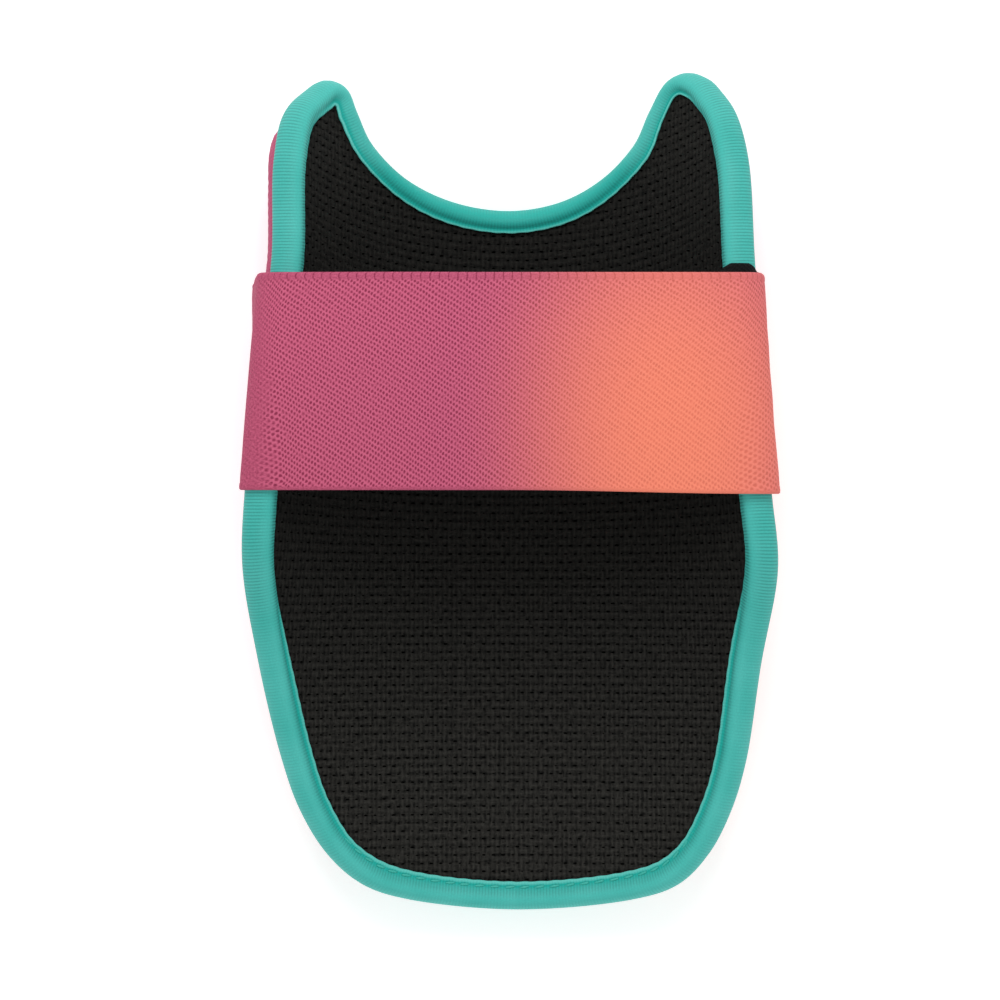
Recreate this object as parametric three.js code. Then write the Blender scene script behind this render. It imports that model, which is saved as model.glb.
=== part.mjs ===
// Elbow guard for batting, in millimetres, lying on its outer face with the open side up.
// +X runs across the guard, +Y from the tongue to the horns, and Z = 0 is the surface it lies on.
// The guard is laid out flat as a pattern (across, y) and then bent round a lengthwise axis.
import * as THREE from 'three';

// Driving dimensions
const SEAT_GAP = 0.3;
const LINING_SEAT_GAP = 0.5;
const STRAP_SEAT_GAP = 0.8;
const TAPE_SEAT_GAP = 0.4;
const TAB_SEAT_GAP = 0.5;
const LINING_THICKNESS = 1.2;
const PAD_THICKNESS = 8.5;
const PAD_EDGE_THICKNESS = 3.2;
const PAD_TAPER_LENGTH = 17;
const TAPE_THICKNESS = 0.9;
const TAPE_LEG = 3.5;
const TAPE_ROLL_REACH = 2.4;
const TAPE_ROLL_SWELL = 0.5;
const TAPE_SHOULDER_RISE = 0.9;
const TAPE_SHOULDER_SETBACK = 0.5;
const STRAP_WIDTH = 50.8;
const STRAP_THICKNESS = 1.2;
const STRAP_LOWER_EDGE_Y = 0.4;
const STRAP_LAP_ANGLE = 36;
const STRAP_BOW = 1.5;
const STRAP_BOW_HALF_SPAN = 46;
const TAB_THICKNESS = 0.7;
const TAB_SHIFT_UP = 1.8;
const TAB_START_ANGLE = 28;

// How far the pad and the lining reach past (+) or short of (-) the middle of the bound edge
const PAD_REACH = 1.3;
const LINING_REACH = -0.8;

// The line that the guard is bent round stands this far to the right of the middle
const BEND_AXIS_X = 0.6;

// A row for each cross-section, from the tongue to the horns: where it is, its left and right bound
// edges in plan, the height of the lining along the middle, and the radius that it is bent to.
const SECTIONS = [
  { y: -94.9, left: -22.8, right: 26.4, base: 10.2, radius: 110 },
  { y: -91.5, left: -32.4, right: 37.2, base: 9.6, radius: 110 },
  { y: -85, left: -39.6, right: 43.2, base: 8.9, radius: 110 },
  { y: -75, left: -45.4, right: 47.9, base: 8.7, radius: 106 },
  { y: -63.5, left: -49.0, right: 50.8, base: 9.4, radius: 101 },
  { y: -41, left: -53.4, right: 53.3, base: 12.2, radius: 86 },
  { y: -18, left: -55.6, right: 55.8, base: 15.6, radius: 69 },
  { y: 0, left: -54.6, right: 54.0, base: 17.0, radius: 63 },
  { y: 29, left: -51.8, right: 51.4, base: 16.2, radius: 58.5 },
  { y: 55, left: -49.9, right: 50.3, base: 10.3, radius: 57 },
  { y: 78, left: -49.8, right: 49.2, base: 4.6, radius: 57 },
  { y: 89, left: -47.1, right: 47.4, base: 1.4, radius: 57 },
];
const TONGUE_CORNER_ROW = 2;

// The ends of the outline: the tongue, the horn tips, and the scoop between the horns in pairs of points
const TONGUE_TIP = { x: 2.0, y: -97.5 };
const LEFT_HORN_TIP = { x: -41.6, y: 96.0 };
const RIGHT_HORN_TIP = { x: 40.9, y: 97.5 };
const SCOOP_MIDDLE = { x: 0, y: 64.7 };
const SCOOP_ROWS = [
  { y: 90, left: -37.7, right: 34.1 },
  { y: 82, left: -34.0, right: 31.2 },
  { y: 73, left: -25.9, right: 23.3 },
  { y: 67, left: -14.4, right: 13.2 },
];

// Heights that soft pieces are flattened to where they lie on the surface, or on the strap under the pad,
// and the length over which the pad's flat rises from the one to the other
const SURFACE_Z = 0;
const STRAP_SEAT_Z = STRAP_THICKNESS + STRAP_SEAT_GAP;
const STRAP_SEAT_RISE_LENGTH = 30;

// How finely the pieces are meshed
const CELLS_ACROSS = 24;
const CELLS_ALONG = 28;
const OUTLINE_STEPS = 1200;
const TURN_WEIGHT = 14;
const EDGE_POINT_STRIDE = 4;
const WRAP_STEPS = 40;
const STRAP_STATIONS = 6;
const STRAP_STEP_ANGLE = 6;
const STRAP_RIM_STEP_ANGLE = 2;
const RIM_ANGLES = { from: 4, to: 36 };

const lerp = THREE.MathUtils.lerp;
const radians = THREE.MathUtils.degToRad;

function smoothStep(value, from, to) {
  return THREE.MathUtils.smoothstep(value, from, to);
}

// A smooth curve through one column of SECTIONS, straight beyond its ends
function along(y, column) {
  const last = SECTIONS.length - 1;
  let i = SECTIONS.findIndex((row) => row.y > y) - 1;
  if (y < SECTIONS[0].y) i = 0;
  if (y >= SECTIONS[last].y) i = last - 1;
  const slope = (k) => {
    const before = SECTIONS[Math.max(k - 1, 0)];
    const after = SECTIONS[Math.min(k + 1, last)];
    return (after[column] - before[column]) / (after.y - before.y);
  };
  const span = SECTIONS[i + 1].y - SECTIONS[i].y;
  const f = (y - SECTIONS[i].y) / span;
  if (f < 0) return SECTIONS[i][column] + slope(i) * (y - SECTIONS[i].y);
  if (f > 1) return SECTIONS[i + 1][column] + slope(i + 1) * (y - SECTIONS[i + 1].y);
  const square = f * f;
  const cube = square * f;
  return (2 * cube - 3 * square + 1) * SECTIONS[i][column]
    + (cube - 2 * square + f) * span * slope(i)
    + (3 * square - 2 * cube) * SECTIONS[i + 1][column]
    + (cube - square) * span * slope(i + 1);
}

// From the flat pattern to the bent guard; depth is measured from the lining's face towards the arm
function bend(across, y, depth) {
  const radius = along(y, 'radius');
  const angle = across / radius;
  const x = BEND_AXIS_X + (radius - depth) * Math.sin(angle);
  const z = along(y, 'base') + radius - (radius - depth) * Math.cos(angle);
  return new THREE.Vector3(x, y, z);
}

// From the plan to the flat pattern
function unbend(x, y) {
  const radius = along(y, 'radius');
  return new THREE.Vector2(radius * Math.asin((x - BEND_AXIS_X) / radius), y);
}

// The bound edge in the flat pattern, counter-clockwise, in four runs that meet at the horn tips and
// at the tongue's corners. Each run is a list of points with the outward direction there.
function edgeRuns() {
  const corners = SECTIONS[TONGUE_CORNER_ROW];
  const rightSide = SECTIONS.map((row) => ({ x: row.right, y: row.y }));
  const leftSide = SECTIONS.map((row) => ({ x: row.left, y: row.y })).reverse();
  const scoopRight = SCOOP_ROWS.map((row) => ({ x: row.right, y: row.y }));
  const scoopLeft = SCOOP_ROWS.map((row) => ({ x: row.left, y: row.y })).reverse();
  const outline = [
    TONGUE_TIP, ...rightSide, RIGHT_HORN_TIP, ...scoopRight,
    SCOOP_MIDDLE, ...scoopLeft, LEFT_HORN_TIP, ...leftSide,
  ];
  const points = outline.map(({ x, y }) => new THREE.Vector3(x, y, 0));
  const curve = new THREE.CatmullRomCurve3(points, true, 'centripetal');
  const flat = [];
  for (let k = 0; k < OUTLINE_STEPS; k += 1) {
    const p = curve.getPoint(k / OUTLINE_STEPS);
    flat.push(unbend(p.x, p.y));
  }
  const edge = flat.map((point, k) => {
    const next = flat[(k + 1) % OUTLINE_STEPS];
    const previous = flat[(k + OUTLINE_STEPS - 1) % OUTLINE_STEPS];
    const travel = next.clone().sub(previous).normalize();
    return { point, outward: new THREE.Vector2(travel.y, -travel.x) };
  });
  const nearest = ({ x, y }) => {
    const target = unbend(x, y);
    const distances = edge.map(({ point }) => point.distanceTo(target));
    return distances.indexOf(Math.min(...distances));
  };
  const breaks = [
    nearest({ x: corners.left, y: corners.y }), nearest({ x: corners.right, y: corners.y }),
    nearest(RIGHT_HORN_TIP), nearest(LEFT_HORN_TIP),
  ];
  const run = (from, to) => {
    const count = (to - from + OUTLINE_STEPS) % OUTLINE_STEPS;
    return Array.from({ length: count + 1 }, (_, k) => edge[(from + k) % OUTLINE_STEPS]);
  };
  return {
    tongue: run(breaks[0], breaks[1]),
    right: run(breaks[1], breaks[2]),
    scoop: run(breaks[2], breaks[3]),
    left: run(breaks[3], breaks[0]),
  };
}

const EDGE = edgeRuns();

// Steps along a run of the edge, closer together where it turns, moved outward by reach
function stepsAlong(run, count, reach) {
  const lengths = [0];
  for (let k = 1; k < run.length; k += 1) {
    const turn = Math.acos(Math.min(run[k].outward.dot(run[k - 1].outward), 1));
    lengths.push(lengths[k - 1] + run[k].point.distanceTo(run[k - 1].point) + TURN_WEIGHT * turn);
  }
  const total = lengths[lengths.length - 1];
  return Array.from({ length: count + 1 }, (_, step) => {
    const wanted = (total * step) / count;
    let k = lengths.findIndex((length) => length >= wanted - 1e-9);
    k = Math.max(k, 1);
    const f = (wanted - lengths[k - 1]) / (lengths[k] - lengths[k - 1]);
    const point = run[k - 1].point.clone().lerp(run[k].point, f);
    const outward = run[k - 1].outward.clone().lerp(run[k].outward, f).normalize();
    return { point: point.addScaledVector(outward, reach), outward };
  });
}

// A grid of pattern points that fills the edge, with its four sides on the four runs
function patternGrid(reach) {
  const tongue = stepsAlong(EDGE.tongue, CELLS_ACROSS, reach);
  const right = stepsAlong(EDGE.right, CELLS_ALONG, reach);
  const scoop = stepsAlong(EDGE.scoop, CELLS_ACROSS, reach).reverse();
  const left = stepsAlong(EDGE.left, CELLS_ALONG, reach).reverse();
  const rows = [];
  for (let j = 0; j <= CELLS_ALONG; j += 1) {
    const t = j / CELLS_ALONG;
    const row = [];
    for (let i = 0; i <= CELLS_ACROSS; i += 1) {
      const s = i / CELLS_ACROSS;
      const upDown = tongue[i].point.clone().lerp(scoop[i].point, t);
      const leftRight = left[j].point.clone().lerp(right[j].point, s);
      const low = tongue[0].point.clone().lerp(tongue[CELLS_ACROSS].point, s);
      const high = scoop[0].point.clone().lerp(scoop[CELLS_ACROSS].point, s);
      row.push(upDown.add(leftRight).sub(low.lerp(high, t)));
    }
    rows.push(row);
  }
  return rows;
}

// Points of the bound edge that distances are measured from
const EDGE_POINTS = Object.values(EDGE)
  .flatMap((run) => run.filter((_, k) => k % EDGE_POINT_STRIDE === 0))
  .map(({ point }) => point);

function distanceToEdge(point) {
  let nearest = Infinity;
  for (const edgePoint of EDGE_POINTS) nearest = Math.min(nearest, edgePoint.distanceToSquared(point));
  return Math.sqrt(nearest);
}

// Depth of the pad's outer face at a distance in from the bound edge
const PAD_INNER_DEPTH = -(LINING_THICKNESS + LINING_SEAT_GAP);
function padOuterDepth(inset) {
  const swell = smoothStep(inset + PAD_REACH, 0, PAD_TAPER_LENGTH);
  return PAD_INNER_DEPTH - lerp(PAD_EDGE_THICKNESS, PAD_THICKNESS, swell);
}

// The pad's outer face, flattened where it lies on the surface or on the strap below it
function padOuterPoint(point, inset) {
  const bent = bend(point.x, point.y, padOuterDepth(inset));
  const onStrap = smoothStep(point.y, STRAP_LOWER_EDGE_Y - STRAP_SEAT_RISE_LENGTH, STRAP_LOWER_EDGE_Y);
  bent.z = Math.max(bent.z, lerp(SURFACE_Z, STRAP_SEAT_Z, onStrap));
  return bent;
}

function meshOf(name, vertices, triangles, finish) {
  const geometry = new THREE.BufferGeometry();
  const coordinates = vertices.flatMap((vertex) => vertex.toArray());
  geometry.setAttribute('position', new THREE.Float32BufferAttribute(coordinates, 3));
  geometry.setIndex(triangles.flat());
  geometry.computeVertexNormals();
  const mesh = new THREE.Mesh(geometry, new THREE.MeshStandardMaterial(finish));
  mesh.name = name;
  return mesh;
}

// A closed sheet between two grids of points, the upper one towards the arm
function sheetBetween(name, upper, lower, finish) {
  const columns = upper[0].length;
  const rows = upper.length;
  const vertices = [...upper.flat(), ...lower.flat()];
  const top = (i, j) => j * columns + i;
  const bottom = (i, j) => rows * columns + top(i, j);
  const triangles = [];
  for (let j = 0; j < rows - 1; j += 1) {
    for (let i = 0; i < columns - 1; i += 1) {
      triangles.push([top(i, j), top(i + 1, j), top(i + 1, j + 1)]);
      triangles.push([top(i, j), top(i + 1, j + 1), top(i, j + 1)]);
      triangles.push([bottom(i, j), bottom(i + 1, j + 1), bottom(i + 1, j)]);
      triangles.push([bottom(i, j), bottom(i, j + 1), bottom(i + 1, j + 1)]);
    }
  }
  const border = [];
  for (let i = 0; i < columns - 1; i += 1) border.push([i, 0]);
  for (let j = 0; j < rows - 1; j += 1) border.push([columns - 1, j]);
  for (let i = columns - 1; i > 0; i -= 1) border.push([i, rows - 1]);
  for (let j = rows - 1; j > 0; j -= 1) border.push([0, j]);
  border.forEach(([i, j], k) => {
    const [nextI, nextJ] = border[(k + 1) % border.length];
    triangles.push([bottom(i, j), bottom(nextI, nextJ), top(nextI, nextJ)]);
    triangles.push([bottom(i, j), top(nextI, nextJ), top(i, j)]);
  });
  return meshOf(name, vertices, triangles, finish);
}

// A body through a row of sections, closed on itself or capped. The second half of a section's points
// runs back over the first half, so its patches are split the other way to match, and a cap is a strip
// of patches between the two halves.
function bodyThrough(name, sections, closed, finish) {
  const size = sections[0].length;
  const vertices = sections.flat();
  const triangles = [];
  const spans = closed ? sections.length : sections.length - 1;
  for (let k = 0; k < spans; k += 1) {
    const here = k * size;
    const there = ((k + 1) % sections.length) * size;
    for (let j = 0; j < size; j += 1) {
      const next = (j + 1) % size;
      const [a, b, c, d] = [here + j, there + j, there + next, here + next];
      const runsBack = j >= size / 2;
      triangles.push(runsBack ? [a, b, d] : [a, b, c]);
      triangles.push(runsBack ? [b, c, d] : [a, c, d]);
    }
  }
  if (!closed) {
    const end = (sections.length - 1) * size;
    for (let j = 0; j < size / 2 - 1; j += 1) {
      const facing = size - 1 - j;
      triangles.push([j, j + 1, facing - 1]);
      triangles.push([j, facing - 1, facing]);
      triangles.push([end + j, end + facing - 1, end + j + 1]);
      triangles.push([end + j, end + facing, end + facing - 1]);
    }
  }
  return meshOf(name, vertices, triangles, finish);
}

// The pad: moulded foam in a printed cover, thick in the middle and thin at its edge
function makeOuterShell() {
  const grid = patternGrid(PAD_REACH);
  const inner = grid.map((row) => row.map((p) => bend(p.x, p.y, PAD_INNER_DEPTH)));
  const outer = grid.map((row, j) => row.map((p, i) => {
    const onEdge = i === 0 || j === 0 || i === CELLS_ACROSS || j === CELLS_ALONG;
    return padOuterPoint(p, onEdge ? -PAD_REACH : distanceToEdge(p));
  }));
  return sheetBetween('outer_shell', inner, outer, { color: 0xc4607f, roughness: 0.75, metalness: 0 });
}

// The lining: spacer mesh lying on the inside of the pad
function makeLining() {
  const grid = patternGrid(LINING_REACH);
  const face = grid.map((row) => row.map((p) => bend(p.x, p.y, 0)));
  const back = grid.map((row) => row.map((p) => bend(p.x, p.y, -LINING_THICKNESS)));
  return sheetBetween('lining', face, back, { color: 0x1c1c1b, roughness: 0.95, metalness: 0 });
}

// The folded tape's middle line across the edge: reach outward from the edge's middle, and depth
const TAPE_LIFT = TAPE_SEAT_GAP + TAPE_THICKNESS / 2;
function tapeFold() {
  const middle = PAD_INNER_DEPTH - PAD_EDGE_THICKNESS / 2;
  const shoulder = PAD_EDGE_THICKNESS / 2 + TAPE_SHOULDER_RISE;
  const shoulderReach = TAPE_ROLL_REACH - TAPE_SHOULDER_SETBACK;
  const outerLeg = (reach) => padOuterDepth(-reach) - TAPE_LIFT - SEAT_GAP;
  return [
    { reach: -TAPE_LEG, depth: outerLeg(-TAPE_LEG) },
    { reach: 0, depth: outerLeg(0) - TAPE_ROLL_SWELL },
    { reach: shoulderReach, depth: middle - shoulder },
    { reach: TAPE_ROLL_REACH, depth: middle },
    { reach: shoulderReach, depth: middle + shoulder },
    { reach: 0, depth: TAPE_LIFT + TAPE_ROLL_SWELL },
    { reach: -TAPE_LEG, depth: TAPE_LIFT },
  ];
}

// The tape's section: its fold thickened to both sides, as reach and depth pairs, counter-clockwise
function tapeSection() {
  const fold = tapeFold();
  const sideways = fold.map((_, k) => {
    const before = fold[Math.max(k - 1, 0)];
    const after = fold[Math.min(k + 1, fold.length - 1)];
    const travel = new THREE.Vector2(after.reach - before.reach, after.depth - before.depth).normalize();
    return new THREE.Vector2(travel.y, -travel.x);
  });
  const moved = (side) => fold.map(({ reach, depth }, k) => ({
    reach: reach + sideways[k].x * side * TAPE_THICKNESS / 2,
    depth: depth + sideways[k].y * side * TAPE_THICKNESS / 2,
  }));
  return [...moved(1), ...moved(-1).reverse()];
}

const TAPE_SECTION = tapeSection();

// One point of the tape on the bent guard, held above the surface and the strap like the pad is
function tapePoint({ point, outward }, { reach, depth }) {
  const flat = point.clone().addScaledVector(outward, reach);
  const bent = bend(flat.x, flat.y, depth);
  bent.z = Math.max(bent.z, SURFACE_Z + SEAT_GAP);
  return bent;
}

// The binding: ribbed tape folded over the edge of the pad and the lining, all the way round
function makeEdgeBinding() {
  const stations = [
    ...stepsAlong(EDGE.tongue, CELLS_ACROSS, 0).slice(0, -1),
    ...stepsAlong(EDGE.right, CELLS_ALONG, 0).slice(0, -1),
    ...stepsAlong(EDGE.scoop, CELLS_ACROSS, 0).slice(0, -1),
    ...stepsAlong(EDGE.left, CELLS_ALONG, 0).slice(0, -1),
  ];
  const sections = stations.map((station) => TAPE_SECTION.map((corner) => tapePoint(station, corner)));
  return bodyThrough('edge_binding', sections, true, { color: 0x46a99f, roughness: 0.7, metalness: 0 });
}

// The convex outline round the guard in the section at y, as edges with an outward direction
function wrapEdges(y) {
  const heightOff = ({ point }) => Math.abs(point.y - y);
  const stationAt = (run) => run.reduce((a, b) => (heightOff(a) < heightOff(b) ? a : b));
  const left = stationAt(EDGE.left);
  const right = stationAt(EDGE.right);
  const corners = [];
  for (const station of [left, right]) {
    for (const corner of TAPE_SECTION) {
      const p = tapePoint(station, corner);
      corners.push(new THREE.Vector2(p.x, p.z));
    }
  }
  for (let k = 0; k <= WRAP_STEPS; k += 1) {
    const point = new THREE.Vector2(lerp(left.point.x, right.point.x, k / WRAP_STEPS), y);
    const p = padOuterPoint(point, distanceToEdge(point));
    corners.push(new THREE.Vector2(p.x, p.z));
  }
  corners.sort((a, b) => a.x - b.x || a.y - b.y);
  const half = (list) => {
    const chain = [];
    for (const p of list) {
      while (chain.length > 1) {
        const a = chain[chain.length - 2];
        const b = chain[chain.length - 1];
        if ((b.x - a.x) * (p.y - a.y) - (b.y - a.y) * (p.x - a.x) > 0) break;
        chain.pop();
      }
      chain.push(p);
    }
    return chain;
  };
  const loop = [...half(corners).slice(0, -1), ...half(corners.slice().reverse()).slice(0, -1)];
  return loop.map((point, k) => {
    const travel = loop[(k + 1) % loop.length].clone().sub(point).normalize();
    return { point, outward: new THREE.Vector2(travel.y, -travel.x) };
  });
}

// The strap is drawn round a centre this far below the rims, by angle from +X towards +Z, falling all the way
const CENTRE_BELOW_RIM = 20;
const FULL_TURN = 360;
const STRAP_START_ANGLE = -STRAP_STEP_ANGLE;
const STRAP_END_ANGLE = STRAP_START_ANGLE - FULL_TURN - STRAP_LAP_ANGLE;
const TAB_END_ANGLE = STRAP_START_ANGLE - STRAP_LAP_ANGLE + STRAP_STEP_ANGLE;
const RISE_ANGLE = 12;
const RISE_CLEARANCE_ANGLE = 2;

// The strap's upper edge stands off the guard, most on the left, and not at all under the guard.
// The blends are shares of the direction from the centre, sideways and upward.
const STRAP_EDGE_STANDOFF = 2.0;
const RIGHT_STANDOFF_SHARE = 0.2;
const SIDEWAYS_BLEND = { from: -0.5, to: 0.5 };
const UPWARD_BLEND = { from: -0.6, to: 0.2 };

// A band climbs over the end of what lies under it within the rise angle, just before that end
function climb(angle, endAngle) {
  const topAngle = endAngle + RISE_CLEARANCE_ANGLE;
  return smoothStep(-angle, -(topAngle + RISE_ANGLE), -topAngle);
}

// Distance from the centre to a band laid round the guard, standing off it and above the surface
function wrapRadius({ edges, centre }, angle, standOff, lowest) {
  const direction = new THREE.Vector2(Math.cos(radians(angle)), Math.sin(radians(angle)));
  let radius = Infinity;
  for (const { point, outward } of edges) {
    const facing = outward.dot(direction);
    if (facing <= 0) continue;
    radius = Math.min(radius, (outward.dot(point.clone().sub(centre)) + standOff) / facing);
  }
  if (direction.y < 0) radius = Math.min(radius, (lowest - centre.y) / direction.y);
  return radius;
}

// Angles from one end of a band to the other, closer together where it turns over the two rims
function bandAngles(fromAngle, toAngle) {
  const angles = [];
  let angle = fromAngle;
  while (angle > toAngle) {
    angles.push(angle);
    const upright = THREE.MathUtils.radToDeg(Math.asin(Math.sin(radians(angle))));
    const onRim = upright > RIM_ANGLES.from && upright < RIM_ANGLES.to;
    const step = onRim ? STRAP_RIM_STEP_ANGLE : STRAP_STEP_ANGLE;
    angle = step * (Math.ceil(angle / step) - 1);
  }
  return [...angles, toAngle];
}

// A band of one thickness wrapped round the guard between two angles
function wrappedBand(name, band, finish) {
  const stations = band.stationsY.map((y) => {
    const widthFraction = (y - STRAP_LOWER_EDGE_Y) / STRAP_WIDTH;
    const edges = wrapEdges(y);
    const rimHeight = Math.max(...edges.map(({ point }) => point.y));
    const centre = new THREE.Vector2(0, rimHeight - CENTRE_BELOW_RIM);
    return { y, edges, centre, extra: STRAP_EDGE_STANDOFF * widthFraction ** 2 };
  });
  const sections = [];
  for (const angle of bandAngles(band.fromAngle, band.toAngle)) {
    const direction = new THREE.Vector2(Math.cos(radians(angle)), Math.sin(radians(angle)));
    const onFace = (station, rise) => {
      const rightward = smoothStep(direction.x, SIDEWAYS_BLEND.from, SIDEWAYS_BLEND.to);
      const upward = smoothStep(direction.y, UPWARD_BLEND.from, UPWARD_BLEND.to);
      const loose = station.extra * lerp(1, RIGHT_STANDOFF_SHARE, rightward) * upward;
      const standOff = band.standOff(angle) + rise + loose;
      const radius = wrapRadius(station, angle, standOff, SURFACE_Z + band.thickness - rise);
      const x = station.centre.x + radius * direction.x;
      const bow = direction.y > 0 ? STRAP_BOW * Math.max(1 - (x / STRAP_BOW_HALF_SPAN) ** 2, 0) : 0;
      return new THREE.Vector3(x, station.y, station.centre.y + radius * direction.y + bow);
    };
    const inside = stations.map((station) => onFace(station, 0)).reverse();
    const outside = stations.map((station) => onFace(station, band.thickness));
    sections.push([...inside, ...outside]);
  }
  return bodyThrough(name, sections, false, finish);
}

// Where the strap is measured across its width, from its lower edge to its upper edge
const STRAP_STATIONS_Y = Array.from(
  { length: STRAP_STATIONS },
  (_, k) => STRAP_LOWER_EDGE_Y + (STRAP_WIDTH * k) / (STRAP_STATIONS - 1),
);

// The strap: elastic band that starts on the right wall, runs under the guard, up the left wall, over
// the open side, and laps over its own start
function makeStrap() {
  const band = {
    stationsY: STRAP_STATIONS_Y,
    thickness: STRAP_THICKNESS,
    fromAngle: STRAP_START_ANGLE,
    toAngle: STRAP_END_ANGLE,
    standOff: (angle) => STRAP_SEAT_GAP
      + (TAB_THICKNESS + TAB_SEAT_GAP) * climb(angle, TAB_START_ANGLE - FULL_TURN)
      + (STRAP_THICKNESS + TAB_SEAT_GAP) * climb(angle, STRAP_START_ANGLE - FULL_TURN),
  };
  return wrappedBand('strap', band, { color: 0xd9716f, roughness: 0.8, metalness: 0 });
}

// The hook tab: hook tape under the strap's end, over the right rim and down the right wall
function makeHookTab() {
  const lowerEdge = STRAP_STATIONS_Y[0] + TAB_SHIFT_UP;
  const upperEdge = STRAP_STATIONS_Y[STRAP_STATIONS - 1] + TAB_SHIFT_UP;
  const band = {
    stationsY: [lowerEdge, ...STRAP_STATIONS_Y.slice(1), upperEdge],
    thickness: TAB_THICKNESS,
    fromAngle: TAB_START_ANGLE,
    toAngle: TAB_END_ANGLE,
    standOff: (angle) => STRAP_SEAT_GAP + (STRAP_THICKNESS + TAB_SEAT_GAP) * climb(angle, STRAP_START_ANGLE),
  };
  return wrappedBand('strap_hook_tab', band, { color: 0x161616, roughness: 0.9, metalness: 0 });
}

const guard = new THREE.Group();
guard.add(makeOuterShell(), makeLining(), makeEdgeBinding(), makeStrap(), makeHookTab());

export default guard;
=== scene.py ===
"""Elbow guard for batting, lying on its outer face with its strap fastened across the open side."""

import math

import bpy
import numpy as np
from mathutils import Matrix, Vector
from mathutils.geometry import convex_hull_2d, delaunay_2d_cdt


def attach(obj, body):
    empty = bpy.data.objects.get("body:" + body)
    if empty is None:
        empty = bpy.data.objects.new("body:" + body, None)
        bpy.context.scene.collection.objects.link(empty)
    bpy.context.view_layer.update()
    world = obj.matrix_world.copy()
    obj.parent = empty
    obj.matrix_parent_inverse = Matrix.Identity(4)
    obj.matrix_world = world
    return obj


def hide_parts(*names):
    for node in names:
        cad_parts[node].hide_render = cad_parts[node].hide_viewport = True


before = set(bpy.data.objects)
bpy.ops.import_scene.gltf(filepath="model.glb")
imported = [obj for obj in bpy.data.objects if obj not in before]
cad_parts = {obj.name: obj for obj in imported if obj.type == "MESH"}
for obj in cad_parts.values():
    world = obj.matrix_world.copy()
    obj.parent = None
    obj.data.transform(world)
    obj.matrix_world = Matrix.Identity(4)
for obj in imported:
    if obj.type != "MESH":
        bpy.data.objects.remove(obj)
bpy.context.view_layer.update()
MM = 0.001

# Camera
# It looks straight down into the open side through a long lens, with the horns at the top of the picture.
CAMERA_PLACE = Vector((-2.2, -1.9, 1260.0)) * MM
VIEW_HEIGHT = 60.0 * MM
VIEW_WIDTH = 229.9 * MM
SENSOR_WIDTH = 36.0


def add_object(name, data):
    """A new object at the origin of the scene."""
    new_object = bpy.data.objects.new(name, data)
    bpy.context.scene.collection.objects.link(new_object)
    return new_object


camera_data = bpy.data.cameras.new("camera")
camera_data.sensor_width = SENSOR_WIDTH
camera_data.lens = SENSOR_WIDTH * (CAMERA_PLACE.z - VIEW_HEIGHT) / VIEW_WIDTH
camera = add_object("camera", camera_data)
camera.location = CAMERA_PLACE
bpy.context.scene.camera = camera

# Padded shell
# A pad of moulded foam in a printed knit cover, thick in the middle and thin at its bound edge.
# It is cut flat as a pattern and moulded into a trough round a lengthwise line, and it lies on its
# outer face, which is flattened by the surface and by the strap that passes under it.
SECTION_COLUMNS = ("y", "left", "right", "base", "radius")
SECTION_ROWS = [
    (-94.9, -23.3, 28.4, 10.2, 112.7),
    (-91.5, -32.9, 38.0, 9.6, 113.7),
    (-85.0, -40.2, 44.2, 8.9, 114.1),
    (-75.0, -46.0, 49.0, 8.7, 109.9),
    (-63.5, -49.8, 52.1, 9.4, 105.0),
    (-41.0, -54.4, 54.8, 12.2, 89.6),
    (-18.0, -57.0, 57.5, 15.6, 72.1),
    (0.0, -56.1, 55.7, 17.0, 65.7),
    (29.0, -53.0, 53.3, 16.2, 61.1),
    (55.0, -50.3, 52.0, 10.3, 59.4),
    (78.0, -50.1, 51.0, 4.6, 59.7),
    (89.0, -48.2, 48.7, 1.4, 60.9),
]
SECTIONS = {name: np.array(values) * MM for name, values in zip(SECTION_COLUMNS, zip(*SECTION_ROWS))}
TONGUE_TIP = (2.0, -97.5)
RIGHT_HORN_TIP = [(46.4, 93.2), (43.9, 96.4), (41.0, 97.7), (38.4, 96.5)]
LEFT_HORN_TIP = [(-39.8, 95.0), (-41.9, 95.7), (-44.6, 93.5)]
SCOOP_MIDDLE = (0.0, 65.05)
# Rows of the scoop's height and of its left and right edges
SCOOP_ROWS = [(90.0, -37.7, 34.8), (82.0, -34.0, 31.2), (73.2, -25.6, 23.2), (67.35, -14.2, 13.0)]
BEND_AXIS_X = 0.6 * MM


def in_mm(*lengths):
    """Millimetres as metres."""
    return tuple(length * MM for length in lengths)


LINING_THICKNESS = 1.2 * MM
LINING_SEAT_GAP = 0.5 * MM
PAD_INNER_DEPTH = -(LINING_THICKNESS + LINING_SEAT_GAP)
PAD_THICKNESS = 8.5 * MM
PAD_EDGE_THICKNESS = 3.2 * MM
PAD_TAPER_LENGTH = 17.0 * MM
PAD_REACH = 1.3 * MM
PAD_CELL = 1.2 * MM
SURFACE_Z = 0.0
STRAP_SEAT_Z = 2.0 * MM
STRAP_LOWER_Y = 0.4 * MM
STRAP_SEAT_RISE_LENGTH = 30.0 * MM
FLATTEN_BLEND = 0.5 * MM
SWELL = 7.9 * MM
SWELL_FROM_WALL = in_mm(3.0, 9.5)
SWELL_FADE = 15.0 * MM
SWELL_FROM_SCOOP = in_mm(3.5, 8.0)
SWELL_CLOSER = 2.4 * MM
SWELL_CLOSER_Y = in_mm(72.0, 86.0)
SWELL_START_Y = in_mm(13.0, 51.0)
SWELL_END_Y = in_mm(85.0, 92.0)

RIB_PITCH = 0.75 * MM
RIB_STEPS = 4
CURVE_STEPS = 60
FAN_STEPS = 8
FAN_ROUNDS = 4
INSIDE_ONLY = 1
SAME_PLACE = 1e-7


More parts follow.
